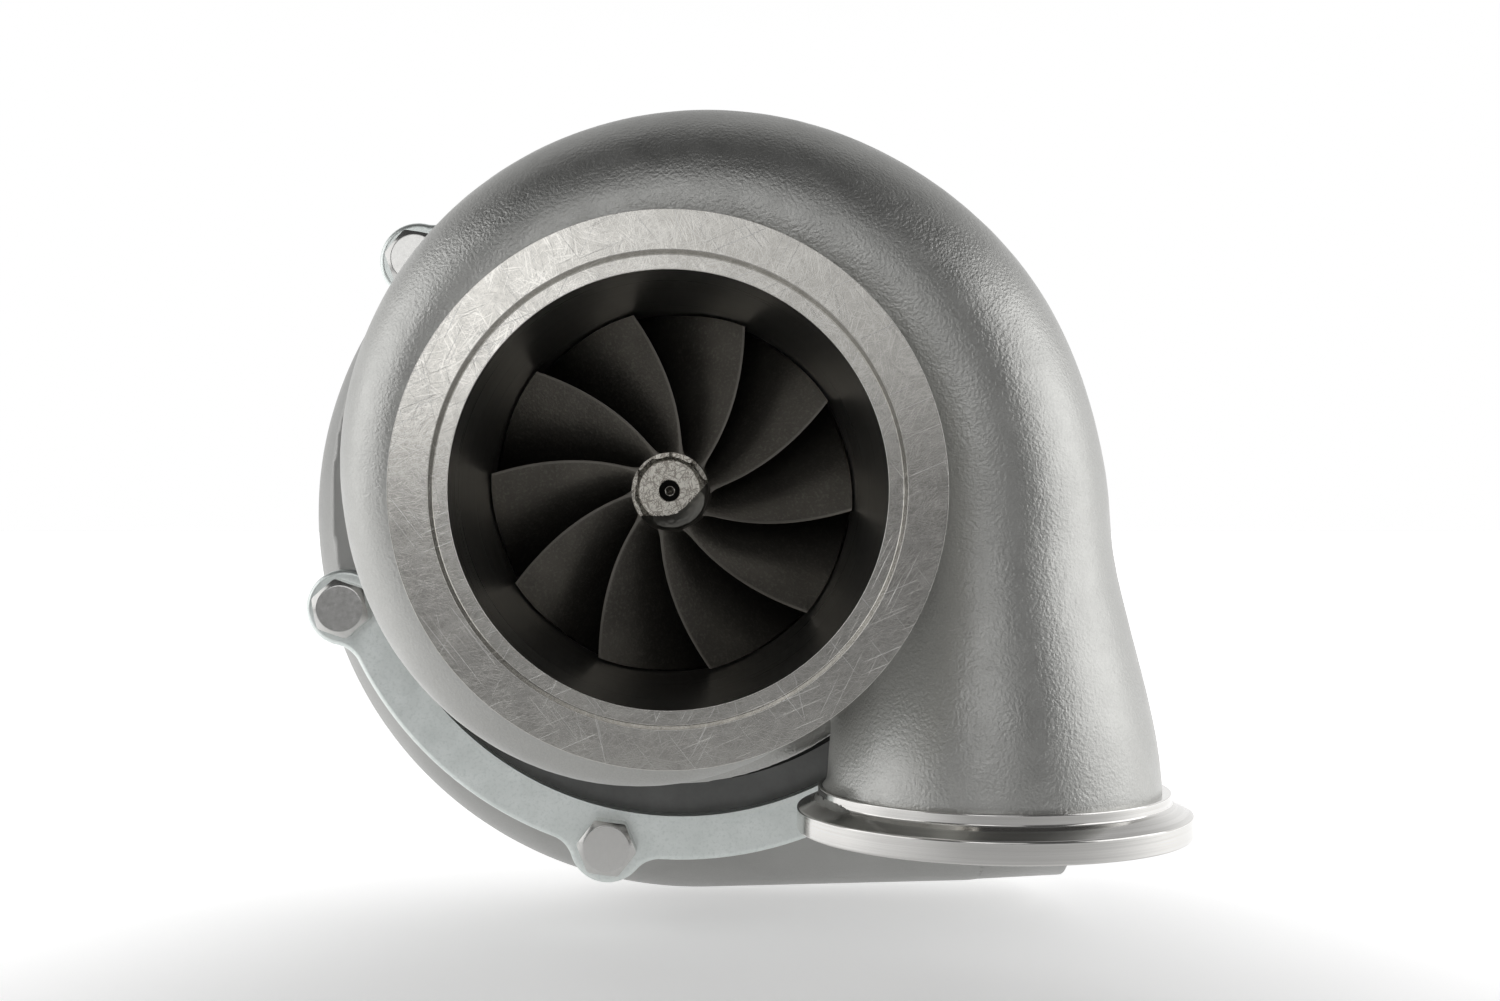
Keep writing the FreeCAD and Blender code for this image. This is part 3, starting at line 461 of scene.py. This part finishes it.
def turned_bore():
    """Turned bore, with grooves that run round the rotor axis."""
    p = Paint("turned_bore", (0.64, 0.63, 0.60), 1.0, 0.3)
    lines = p.noise(1.0, 3, 0.6, p.stretched((18, 2600, 18)))
    p.color(p.ramp(lines, [(0.3, (0.60, 0.59, 0.56)), (0.7, (0.68, 0.67, 0.64))]))
    p.rough(p.ramp(lines, [(0.3, 0.27), (0.7, 0.33)]))
    p.normal(p.bump(lines, 0.005, 0.5))
    return p.material


def turned_inlet():
    """Turned flange of the inlet, with marks that run round its vertical axis."""
    p = Paint("turned_inlet", (0.72, 0.71, 0.69), 1.0, 0.13)
    lines = p.noise(1.0, 3, 0.6, p.stretched((14, 14, 2200)))
    p.color(p.ramp(lines, [(0.3, (0.64, 0.63, 0.61)), (0.7, (0.78, 0.77, 0.75))]))
    p.rough(p.ramp(lines, [(0.3, 0.1), (0.7, 0.18)]))
    p.normal(p.bump(lines, 0.012, 0.5))
    return p.material


def wheel_alloy():
    """Dark fine-grained alloy casting."""
    p = Paint("wheel_alloy", (0.13, 0.122, 0.108), 0.8, 0.44)
    grain = p.noise(1900, 2, 0.6)
    base = p.ramp(p.noise(90, 3, 0.6), [(0.3, (0.105, 0.098, 0.087)), (0.7, (0.15, 0.141, 0.125))])
    p.color(p.mix(p.ramp(grain, [(0.5, 0.0), (0.7, 0.6)]), base, (0.22, 0.208, 0.185)))
    p.rough(p.ramp(grain, [(0.3, 0.38), (0.7, 0.50)]))
    p.normal(p.bump(grain, 0.09, 0.8))
    return p.material


def ground_nose():
    """Ground end of the turbine wheel, with short crossed grinding marks."""
    p = Paint("ground_nose", (0.66, 0.63, 0.58), 1.0, 0.34)
    marks = p.scratches((15, 55, 100, 140), 1.4, 0.2, 0.6)
    tone = p.noise(700, 3, 0.6)
    base = p.ramp(tone, [(0.3, (0.70, 0.675, 0.61)), (0.7, (0.84, 0.81, 0.74))])
    p.color(p.mix(marks, base, (0.40, 0.37, 0.33)))
    p.rough(p.ramp(tone, [(0.3, 0.24), (0.7, 0.34)]))
    p.normal(p.bump(marks, 0.03, 0.7))
    return p.material


def zinc_plate():
    """Bright zinc with a cool, faintly mottled skin."""
    p = Paint("zinc_plate", (0.80, 0.845, 0.825), 0.9, 0.33)
    cloud = p.noise(150, 5, 0.65)
    fleck = p.noise(1300, 3, 0.6)
    base = p.ramp(cloud, [(0.3, (0.74, 0.785, 0.765)), (0.7, (0.86, 0.90, 0.885))])
    p.color(p.mix(p.ramp(fleck, [(0.5, 0.0), (0.68, 0.6)]), base, (0.66, 0.71, 0.69)))
    p.rough(p.ramp(cloud, [(0.3, 0.28), (0.7, 0.38)]))
    p.normal(p.bump(p.noise(900, 3, 0.5), 0.04, 0.5))
    return p.material


def stainless_bolt():
    """Cold-formed stainless bolt."""
    p = Paint("stainless_bolt", (0.62, 0.615, 0.60), 1.0, 0.22)
    tone = p.noise(900, 3, 0.6)
    p.color(p.ramp(tone, [(0.3, (0.59, 0.585, 0.57)), (0.7, (0.65, 0.645, 0.63))]))
    p.rough(p.ramp(tone, [(0.3, 0.19), (0.7, 0.25)]))
    p.normal(p.bump(tone, 0.012, 0.5))
    return p.material


def cast_aluminium():
    """Satin aluminium casting with a very fine blasted grain."""
    p = Paint("cast_aluminium", (0.37, 0.37, 0.36), 1.0, 0.40)
    grain = p.noise(2000, 2, 0.6)
    p.color(p.ramp(p.noise(40, 4, 0.6), [(0.3, (0.35, 0.35, 0.34)), (0.7, (0.40, 0.40, 0.39))]))
    p.rough(p.ramp(grain, [(0.3, 0.35), (0.7, 0.46)]))
    p.normal(p.bump(grain, 0.08, 0.6, p.bump(p.noise(300, 2, 0.5), 0.08, 0.3)))
    return p.material


def machined_aluminium():
    """Milled or turned aluminium."""
    p = Paint("machined_aluminium", (0.78, 0.785, 0.79), 1.0, 0.24)
    lines = p.noise(1.0, 3, 0.6, p.stretched((30, 2400, 30)))
    p.color(p.ramp(lines, [(0.3, (0.70, 0.705, 0.71)), (0.7, (0.82, 0.825, 0.83))]))
    p.rough(p.ramp(lines, [(0.3, 0.2), (0.7, 0.32)]))
    p.normal(p.bump(lines, 0.01, 0.5))
    return p.material


def plain_metal(name, dark, light, metallic, rough, grain_scale, grain_mm):
    """Simple worked metal with a tone and a grain of its own."""
    p = Paint(name, light, metallic, rough)
    tone = p.noise(70, 4, 0.6)
    grain = p.noise(grain_scale, 2, 0.6)
    p.color(p.ramp(tone, [(0.3, dark), (0.7, light)]))
    p.rough(p.ramp(grain, [(0.3, rough - 0.05), (0.7, rough + 0.07)]))
    p.normal(p.bump(grain, grain_mm, 0.4))
    return p.material


# Name, darker tone, lighter tone, metallic, roughness, grain scale and grain depth in millimetres.
PLAIN_METALS = [
    # The blades' trailing-edge faces get a lighter colour, a painted highlight.
    ("wheel_edge_painted_highlight", (0.16, 0.15, 0.135), (0.21, 0.197, 0.177), 0.8, 0.42, 1600, 0.05),
    ("wheel_tip", (0.34, 0.33, 0.31), (0.50, 0.485, 0.46), 1.0, 0.35, 1600, 0.02),
    ("ground_steel", (0.55, 0.55, 0.55), (0.68, 0.68, 0.68), 1.0, 0.22, 1800, 0.01),
    ("sheet_stainless", (0.46, 0.45, 0.43), (0.58, 0.57, 0.55), 1.0, 0.34, 900, 0.02),
    ("cast_iron", (0.10, 0.10, 0.10), (0.16, 0.16, 0.155), 0.8, 0.55, 700, 0.15),
    ("ceramic_ball", (0.03, 0.03, 0.03), (0.05, 0.05, 0.05), 0.0, 0.15, 1500, 0.002),
    ("cage_bronze", (0.52, 0.38, 0.18), (0.66, 0.50, 0.27), 1.0, 0.3, 1400, 0.01),
    ("dark_backplate", (0.13, 0.132, 0.128), (0.18, 0.182, 0.178), 0.8, 0.45, 1500, 0.04),
    ("cut_face", (0.13, 0.128, 0.118), (0.21, 0.206, 0.19), 1.0, 0.34, 1500, 0.03),
    # Near-black wall of the centre drilling: painted shade inside the hole.
    ("drill_wall_painted_shade", (0.02, 0.019, 0.018), (0.035, 0.033, 0.031), 0.6, 0.5, 1500, 0.02),
    ("seal_rubber", (0.012, 0.012, 0.012), (0.02, 0.02, 0.02), 0.0, 0.6, 900, 0.02),
]


def make_materials():
    materials = {
        "cast_stainless": cast_stainless(),
        "turned_stainless": turned_stainless(),
        "turned_bore": turned_bore(),
        "turned_inlet": turned_inlet(),
        "wheel_alloy": wheel_alloy(),
        "ground_nose": ground_nose(),
        "zinc_plate": zinc_plate(),
        "stainless_bolt": stainless_bolt(),
        "cast_aluminium": cast_aluminium(),
        "machined_aluminium": machined_aluminium(),
    }
    for values in PLAIN_METALS:
        materials[values[0]] = plain_metal(*values)
    return materials


def paint(obj, material):
    obj.data.materials.clear()
    obj.data.materials.append(material)


# ---- turbine housing ------------------------------------------------------------

def swollen_tail(p):
    """The thin end of the scroll, filled out a little; any other point gives None."""
    angle = math.degrees(math.atan2(p.z, p.x)) % 360
    start, stop = SCROLL_TAIL
    r = axis_radius(p)
    if not start < angle < stop or abs(p.y - INLET_AXIS.y) >= SCROLL_HALF_WIDTH or r <= SCROLL_INNER_R:
        return None
    along = math.sin(math.pi * (angle - start) / (stop - start))
    s = 1 + SCROLL_TAIL_SWELL * along * smooth_share((r - SCROLL_INNER_R) / 6) / r
    return Vector((p.x * s, p.y, p.z * s))


def tuck_flanges(p):
    """Pulls both flange rims in to their necks, so that the turned flanges can take their place."""
    tail = swollen_tail(p)
    if tail is not None:
        return tail
    if p.y < RIM_BACK_Y + 2.5 and axis_radius(p) > OUTLET_NECK_R:
        s = OUTLET_NECK_R / axis_radius(p)
        return Vector((p.x * s, p.y, p.z * s))
    if p.z < INLET_COLLAR_TOP_Z + 0.5 and INLET_NECK_R < inlet_radius(p) < INLET_RIM_R + 0.5:
        s = INLET_NECK_R / inlet_radius(p)
        off = (p - INLET_AXIS) * s
        return Vector((INLET_AXIS.x + off.x, INLET_AXIS.y + off.y, p.z))
    return p.copy()


def turned_zone(p):
    """Whether a point of the casting lies where a turned piece takes over."""
    r = axis_radius(p)
    in_bore = r < 38.0 and p.y < 48.5
    at_rim = p.y < 8.3 and r < OUTLET_NECK_R + 3
    at_inlet = p.z < INLET_COLLAR_TOP_Z - 0.2 and inlet_radius(p) < INLET_COLLAR_R
    return in_bore or at_rim or at_inlet


def outlet_flange(materials):
    outline = [(MOUTH_R, REGISTER_DEPTH), (REGISTER_R, REGISTER_DEPTH), (REGISTER_R + STEP_TAPER, 0),
               (OUTLET_RIM_R, 0), (OUTLET_RIM_R, RIM_BACK_Y), (OUTLET_NECK_R + 0.05, RIM_BACK_Y + 1.8),
               (OUTLET_NECK_R - 0.05, 9.5), (BORE_SLEEVE_R, 9.5), (BORE_SLEEVE_R, 6.0)]
    flange = rotor_lathe("turbine_outlet_flange", rounded(outline, 0.1), 360)
    paint(flange, materials["turned_stainless"])
    return flange


def outlet_bore(materials):
    """Inner wall of the outlet, from the register step back to the shroud over the wheel."""
    shroud = smooth_line([(r + SHROUD_GAP, y) for r, y in SHROUD], 8)
    mouth_y = REGISTER_DEPTH + 0.05
    outside = BORE_SLEEVE_R + 0.1
    outline = [(MOUTH_R, mouth_y)] + shroud + [(outside, 50.0), (outside, mouth_y)]
    bore = rotor_lathe("turbine_outlet_bore", outline, 256)
    paint(bore, materials["turned_bore"])
    return bore


def inlet_flange(materials):
    rim_z = INLET_FACE_Z + INLET_RIM_WIDTH
    outline = [(INLET_BORE_R, INLET_FACE_Z), (INLET_RIM_R, INLET_FACE_Z), (INLET_RIM_R, rim_z),
               (INLET_COLLAR_R, rim_z + INLET_CONE_RISE), (INLET_COLLAR_R, INLET_COLLAR_TOP_Z),
               (INLET_NECK_R - 0.4, INLET_COLLAR_TOP_Z), (INLET_NECK_R - 0.6, -55.0), (INLET_BORE_R, -55.0)]
    flange = lathe("turbine_inlet_flange", rounded(outline, 0.3), INLET_AXIS, (0, 0, 1), (1, 0, 0), 360)
    paint(flange, materials["turned_inlet"])
    return flange


def turbine_housing_pieces(materials):
    cast = cast_copy("turbine_housing", "turbine_scroll_casting", 0.8, 12, tuck_flanges, turned_zone)
    pebble(cast, 0.03, 3.2)
    paint(cast, materials["cast_stainless"])
    for piece in (cast, outlet_flange(materials), outlet_bore(materials), inlet_flange(materials)):
        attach(piece, "housing")
    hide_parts("turbine_housing")


# ---- turbine wheel --------------------------------------------------------------

def blade_wrap(y):
    return math.radians(FIRST_BLADE + WRAP * (1 - math.exp((WRAP_FROM_Y - y) / WRAP_LENGTH)))


def blade_widths(r, share, from_root):
    """Full width of a blade, and its width at a share of the chord, filleted near the root."""
    fillet = 2.2 * math.exp(-from_root / 0.9)
    full = BLADE_ROOT_WIDTH - BLADE_THINNING * r + fillet
    edge = BLADE_EDGE_WIDTH + 0.6 * fillet
    return full, edge + (full - edge) * (1 - math.exp(-share / BLADE_EDGE_BLEND))


def blade_row(bm, turn, hub_line, tip_line, u, chords):
    """Closed row of points round a blade at a share of its span, with a rounded trailing edge."""
    nib = {0: 0.05, 1: 0.55, 2: 0.85}
    left, right = [], []
    for i, v in enumerate(chords):
        root = along_line(hub_line, v)
        tip = along_line(tip_line, v)
        r, y = root.lerp(tip, u)
        full, width = blade_widths(r, v, u * (tip - root).length)
        middle = 0.5 * (width - full)
        half = 0.5 * width * nib.get(i, 1.0)
        for side, row in ((middle + half, left), (middle - half, right)):
            angle = blade_wrap(y) + turn + side / r
            row.append(bm.verts.new(Vector((r * math.cos(angle), y, r * math.sin(angle))) * MM))
    return left + right[::-1]


def add_blade(bm, turn, hub_line, tip_line):
    """One twisted blade; slot 1 is its trailing edge, coloured lighter as a painted highlight, and slot 2 its
    flat ground tip.
    """
    spans = [0.0, 0.015, 0.03, 0.05, 0.075, 0.11, 0.16, 0.22] + [0.22 + 0.78 * k / 14 for k in range(1, 15)]
    chords = [0.0, 0.001, 0.003, 0.006, 0.012, 0.02, 0.03] + [0.03 + 0.97 * (k / 44) for k in range(1, 45)]
    rows = [blade_row(bm, turn, hub_line, tip_line, u, chords) for u in spans]
    count = len(rows[0])
    edge = (0, 1, count - 1, count - 2, count - 3)
    for low, high in zip(rows, rows[1:]):
        for i in range(count):
            j = (i + 1) % count
            face = bm.faces.new((low[i], low[j], high[j], high[i]))
            # Faces round the trailing edge take the lighter material, a painted highlight.
            face.material_index = 1 if i in edge else 0
    for row, index in ((rows[-1], 2), (rows[0], 0)):
        for i in range(len(chords) - 1):
            face = bm.faces.new((row[i], row[i + 1], row[count - 2 - i], row[count - 1 - i]))
            face.material_index = index


def wheel_blades(materials):
    hub_line = smooth_line([(6.5, ROOT_Y - 0.2)] + BLADE_ROOT_LINE, 8)
    tip_line = smooth_line(SHROUD, 10) + [Vector((36.0, 51.2))]
    bm = bmesh.new()
    for i in range(WHEEL_BLADES):
        add_blade(bm, 2 * math.pi * i / WHEEL_BLADES, hub_line, tip_line)
    bmesh.ops.recalc_face_normals(bm, faces=bm.faces)
    finish_mesh(bm, 50)
    blades = mesh_object("turbine_wheel_blades", bm)
    for name in ("wheel_alloy", "wheel_edge_painted_highlight", "wheel_tip"):
        blades.data.materials.append(materials[name])
    return blades


def wheel_hub(materials):
    outline = smooth_line(HUB_LINE, 8) + [Vector(p) for p in HUB_BACK]
    hub = rotor_lathe("turbine_wheel_hub", outline, 192)
    paint(hub, materials["wheel_alloy"])
    return hub


def turbine_wheel_pieces(materials):
    blades = wheel_blades(materials)
    for piece in (blades, wheel_hub(materials), wheel_nose(materials)):
        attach(piece, "rotor")
    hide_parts("turbine_wheel")


def cut_depth(p):
    """How far a point lies past the two chords of the balance cut, which run smoothly into each other."""
    total = 0.0
    for turn, reach in BALANCE_CUT:
        turn = math.radians(turn)
        total += math.exp((p.x * math.cos(turn) + p.z * math.sin(turn) - reach) / 0.6)
    return 0.6 * math.log(total)


def nose_outline():
    """Finely stepped outline of the nose, from the bottom of its drilling round to its root."""
    bottom = NOSE_Y + DRILL_DEPTH
    outline = [(0.01, bottom + 0.5), (0.75, bottom), (0.85, bottom), (DRILL_R, bottom - 0.7),
               (DRILL_R, NOSE_Y + 0.12), (DRILL_R + 0.12, NOSE_Y), (5.1, NOSE_Y), (5.22, NOSE_Y + 0.12),
               (6.15, NOSE_Y + 1.5), (NOSE_R - 0.08, NOSE_Y + 2.7), (NOSE_R, NOSE_Y + 3.1),
               (NOSE_R + 0.1, 20.5), (0.01, 20.5)]
    fine = []
    for a, b in zip(outline, outline[1:] + outline[:1]):
        steps = max(1, int((Vector(a) - Vector(b)).length / 0.2))
        fine += [Vector(a).lerp(Vector(b), k / steps) for k in range(steps)]
    return fine


def ground(p):
    """Where a point of the plain turned nose ends up after the balance cut and the ground flats."""
    r = axis_radius(p)
    angle = math.degrees(math.atan2(p.z, p.x))
    depth = cut_depth(p)
    if depth > 0 and r > DRILL_R + 0.3 and p.y < 16.0:
        floor = NOSE_Y + 3.4 * (1 - math.exp(-depth / 2.6))
        p.y = max(p.y, floor + 0.05 * noise.noise(p * 1.5))
    for middle, spread, flat in NOSE_FLATS:
        off = (angle - middle + 180) % 360 - 180
        if abs(off) < spread and 15.5 > p.y > NOSE_Y + 0.1:
            limit = (flat + 0.25 * noise.noise(p * 0.8)) / math.cos(math.radians(off * 0.9))
            if r > limit:
                p.x, p.z = p.x * limit / r, p.z * limit / r
    return p


def nose_slot(spot):
    """Slot for a face of the nose: 1 the drilling, painted near black as shade, 2 the balance cut, 0 the
    rest.
    """
    if 0.84 < axis_radius(spot) < DRILL_R + 0.05 and spot.y < NOSE_Y + DRILL_DEPTH + 0.4:
        return 1
    return 2 if cut_depth(spot) > 0.03 and spot.y > NOSE_Y + 0.03 else 0


def wheel_nose(materials):
    """Ground nose of the turbine wheel with its centre drilling, balance cut and ground flats."""
    nose = rotor_lathe("turbine_wheel_nose", nose_outline(), 240)
    for vert in nose.data.vertices:
        vert.co = ground(vert.co / MM) * MM
    finish_nose(nose)
    for name in ("ground_nose", "drill_wall_painted_shade", "cut_face"):
        nose.data.materials.append(materials[name])
    for face in nose.data.polygons:
        face.material_index = nose_slot(face.center / MM)
    return nose


def finish_nose(nose):
    """Crisp edges again after the cuts."""
    bm = bmesh.new()
    bm.from_mesh(nose.data)
    bmesh.ops.recalc_face_normals(bm, faces=bm.faces)
    finish_mesh(bm, 22)
    bm.to_mesh(nose.data)
    bm.free()


# ---- compressor cover and centre housing ----------------------------------------

def pipe_place(p):
    """Distance of a point along the compressor outlet pipe, and from its axis."""
    along = pipe_direction()
    d = p - PIPE_START
    s = d.dot(along)
    return s, (d - along * s).length


def pipe_direction():
    return Vector((math.cos(PIPE_RISE), 0, math.sin(PIPE_RISE)))


def pipe_length():
    return (PIPE_END_X - PIPE_START.x) / pipe_direction().x


def cover_turned_zone(p):
    """Whether a point of the cover lies where the hose end or the spigot takes over."""
    s, r = pipe_place(p)
    at_pipe = s > pipe_length() - HOSE_LENGTH + 1 and r < HOSE_R + 2
    at_spigot = p.y > COVER_BORE_Y and axis_radius(p) > COVER_BORE_R - 3
    return at_pipe or at_spigot


def compressor_cover_pieces(materials):
    cast = cast_copy("compressor_cover", "compressor_scroll_casting", 0.9, 12, None, cover_turned_zone)
    paint(cast, materials["cast_aluminium"])
    stop = pipe_length()
    start = stop - HOSE_LENGTH
    pipe = [(PIPE_BORE_R, start), (HOSE_R, start), (HOSE_R, stop), (PIPE_BORE_R, stop)]
    outlet = lathe("compressor_outlet_pipe", rounded(pipe, 0.4), PIPE_START, pipe_direction(), (0, 1, 0))
    paint(outlet, materials["cast_aluminium"])
    lip_y = COVER_BORE_Y - 0.5
    lip = [(COVER_BORE_R, lip_y), (COVER_SPIGOT_R, lip_y),
           (COVER_SPIGOT_R, COVER_SPIGOT_END_Y), (COVER_BORE_R, COVER_SPIGOT_END_Y)]
    spigot = rotor_lathe("compressor_inlet_spigot", rounded(lip, 0.4), 256)
    paint(spigot, materials["machined_aluminium"])
    for piece in (cast, outlet, spigot):
        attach(piece, "housing")
    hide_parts("compressor_cover")


def center_housing_pieces(materials):
    cast = cast_copy("center_housing", "center_housing_casting", 0.7, 6)
    paint(cast, materials["cast_iron"])
    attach(cast, "housing")
    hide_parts("center_housing")


# ---- bolts ----------------------------------------------------------------------

def head_ring(level):
    """Ring of (radius, height) round the hexagon head, at a share of its height."""
    corner = 0.5 * BOLT_FLATS / math.cos(BOLT_CHAMFER) - BOLT_CORNER_CUT
    ring = []
    for k in range(BOLT_RING):
        off = math.radians((k % STEPS_PER_FLAT) * 60 / STEPS_PER_FLAT - 30)
        radius = min(0.5 * BOLT_FLATS / math.cos(off), corner)
        height = min(BOLT_HEAD, BOLT_HEAD - (radius - BOLT_FACE_R) * math.tan(BOLT_CHAMFER))
        ring.append((radius, level * height))
    return ring


def bolt_rings(reach):
    """Rings of (radius, height over the seat) from the end of the shank to the middle of the head."""
    shank = [(0.01, -reach), (BOLT_SHANK_R - BOLT_END_CHAMFER, -reach),
             (BOLT_SHANK_R, BOLT_END_CHAMFER - reach), (BOLT_SHANK_R, 0.0)]
    levels = [0.0, 0.2] + [0.2 + 0.8 * k / 10 for k in range(1, 10)] + [1.0]
    face = [(BOLT_FACE_R + 0.05, BOLT_HEAD - 0.03), (BOLT_FACE_R - 0.06, BOLT_HEAD),
            (BOLT_FACE_R - 0.25, BOLT_HEAD), (0.01, BOLT_HEAD)]
    round_rings = [[spot] * BOLT_RING for spot in shank]
    return round_rings + [head_ring(level) for level in levels] + [[spot] * BOLT_RING for spot in face]


def add_bolt(bm, seat, turn, sense, rings):
    """One bolt, its head on the side of the seat that sense gives along Y."""
    rows = []
    for ring in rings:
        row = []
        for k, (radius, height) in enumerate(ring):
            a = turn + 2 * math.pi * k / BOLT_RING
            spot = Vector((radius * math.cos(a), sense * height, radius * math.sin(a)))
            row.append(bm.verts.new((seat + spot) * MM))
        rows.append(row)
    for low, high in zip(rows, rows[1:]):
        for k in range(BOLT_RING):
            j = (k + 1) % BOLT_RING
            bm.faces.new((low[k], low[j], high[j], high[k]))
    bm.faces.new(rows[0])
    bm.faces.new(rows[-1])


def hex_bolts(name, node, circle, angles, seat_y, reach, sense, materials):
    """A ring of bolts with chamfered hexagon heads, each turned a little differently."""
    bm = bmesh.new()
    rings = bolt_rings(reach)
    for index, angle in enumerate(angles):
        around = math.radians(angle)
        seat = Vector((circle * math.cos(around), seat_y, circle * math.sin(around)))
        turn = math.radians(angle + 30 + BOLT_TURNS[index % len(BOLT_TURNS)])
        add_bolt(bm, seat, turn, sense, rings)
    bmesh.ops.recalc_face_normals(bm, faces=bm.faces)
    finish_mesh(bm, 24)
    bolts = mesh_object(name, bm)
    paint(bolts, materials["stainless_bolt"])
    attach(bolts, "housing")
    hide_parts(node)


def bolt_pieces(materials):
    hex_bolts("cover_bolts", "compressor_cover_bolts", COVER_BOLT_CIRCLE, COVER_BOLT_ANGLES,
              COVER_BOLT_SEAT_Y, COVER_BOLT_REACH, -1, materials)
    hex_bolts("segment_bolts", "turbine_housing_bolts", SEGMENT_BOLT_CIRCLE, SEGMENT_BOLT_ANGLES,
              SEGMENT_BOLT_SEAT_Y, SEGMENT_BOLT_REACH, 1, materials)


def paint_cad_nodes(materials):
    slots = {part["node"]: part["material_slot"] for part in frame["record"]["subparts"]}
    for name, obj in frame["nodes"].items():
        paint(obj, materials[slots[name]])


# ---- stage, light and camera ----------------------------------------------------

def floor_distance(p, centre, low):
    """Distance on the floor from a centre given as (x, y)."""
    away = p.node("ShaderNodeVectorMath", operation="DISTANCE")
    p.link(p.place, away.inputs[0])
    away.inputs[1].default_value = (*centre, low)
    return away.outputs["Value"]


def pale_floor(low):
    """Pale floor whose glow is painted light: little in front, bright behind the object, with a painted
    shadow beneath the object and a painted pool of light beside it; its colour is darker in front as painted
    shade.
    """
    p = Paint("pale_floor", (0.9, 0.9, 0.9), 0.0, 0.9)
    split = p.node("ShaderNodeSeparateXYZ")
    p.link(p.place, split.inputs[0])
    y = split.outputs["Y"]
    near = p.fade(y, *FLOOR_GLOW_NEAR)
    far = p.fade(y, *FLOOR_GLOW_FAR)
    # Painted shadow: less glow in a round patch beneath the object.
    painted_shadow = p.fade(floor_distance(p, FLOOR_PAINTED_SHADOW_CENTRE, low), *FLOOR_PAINTED_SHADOW)
    # Painted pool of light: extra glow in a round patch beside the object.
    beside = p.fade(floor_distance(p, FLOOR_BESIDE_CENTRE, low), *FLOOR_GLOW_BESIDE)
    behind = p.math("ADD", p.math("MULTIPLY", near, painted_shadow), far)
    # Floor colour darker in front of the object: painted shade.
    p.color(p.fade(y, *FLOOR_PAINTED_SHADE_FRONT))
    p.shader.inputs["Emission Color"].default_value = (1, 1, 1, 1)
    p.link(p.math("MAXIMUM", behind, beside), p.shader.inputs["Emission Strength"])
    return p.material


def make_stage():
    low = cad_bounds[0].z - FLOOR_CLEARANCE
    bm = bmesh.new()
    bmesh.ops.create_circle(bm, cap_ends=True, segments=96, radius=FLOOR_R)
    bmesh.ops.translate(bm, verts=bm.verts, vec=(0, 0, low))
    floor = mesh_object("floor", bm)
    paint(floor, pale_floor(low))


def backdrop_ramp(tree, out, stops):
    node = tree.nodes.new("ShaderNodeValToRGB")
    node.color_ramp.interpolation = "EASE"
    for element, (position, shade) in zip(node.color_ramp.elements, stops):
        element.position = position
        element.color = (shade, shade, shade, 1)
    tree.links.new(out, node.inputs["Fac"])
    return node.outputs["Color"]


def make_world():
    """Pale backdrop behind the object, dim room on its near side and overhead."""
    world = bpy.data.worlds.new("studio")
    bpy.context.scene.world = world
    world.use_nodes = True
    tree = world.node_tree
    place = tree.nodes.new("ShaderNodeTexCoord")
    split = tree.nodes.new("ShaderNodeSeparateXYZ")
    tree.links.new(place.outputs["Generated"], split.inputs[0])
    half = tree.nodes.new("ShaderNodeMapRange")
    half.inputs["From Min"].default_value = -1
    tree.links.new(split.outputs["Y"], half.inputs["Value"])
    depth = backdrop_ramp(tree, half.outputs["Result"], [(0.38, 0.13), (0.75, 1.0)])
    height = backdrop_ramp(tree, split.outputs["Z"], [(0.26, 1.0), (0.7, 0.5)])
    both = tree.nodes.new("ShaderNodeMix")
    both.data_type = "RGBA"
    both.blend_type = "MULTIPLY"
    sockets = {s.identifier: s for s in both.inputs}
    sockets["Factor_Float"].default_value = 1
    tree.links.new(depth, sockets["A_Color"])
    tree.links.new(height, sockets["B_Color"])
    mixed = next(s for s in both.outputs if s.identifier == "Result_Color")
    tree.links.new(mixed, tree.nodes["Background"].inputs["Color"])


def soft_light(name, place, size, power):
    data = bpy.data.lights.new(name, "AREA")
    data.shape = "RECTANGLE"
    data.size, data.size_y = size
    data.energy = power
    lamp = add_object(name, data)
    lamp.location = place
    lamp.rotation_mode = "QUATERNION"
    lamp.rotation_quaternion = (SOFTBOX_TARGET - Vector(place)).to_track_quat("-Z", "Y")


def make_camera():
    data = bpy.data.cameras.new("camera")
    camera = add_object("camera", data)
    camera.location = CAMERA_PLACE
    camera.rotation_euler = (math.radians(90), 0, 0)
    data.sensor_width = 36
    data.lens = CAMERA_LENS
    data.shift_x, data.shift_y = CAMERA_SHIFT
    data.clip_start = 0.01
    bpy.context.scene.camera = camera


def main():
    materials = make_materials()
    paint_cad_nodes(materials)
    turbine_housing_pieces(materials)
    turbine_wheel_pieces(materials)
    compressor_cover_pieces(materials)
    center_housing_pieces(materials)
    bolt_pieces(materials)
    make_stage()
    make_world()
    for values in SOFTBOXES:
        soft_light(*values)
    bpy.context.scene.view_settings.view_transform = "Standard"
    make_camera()


main()
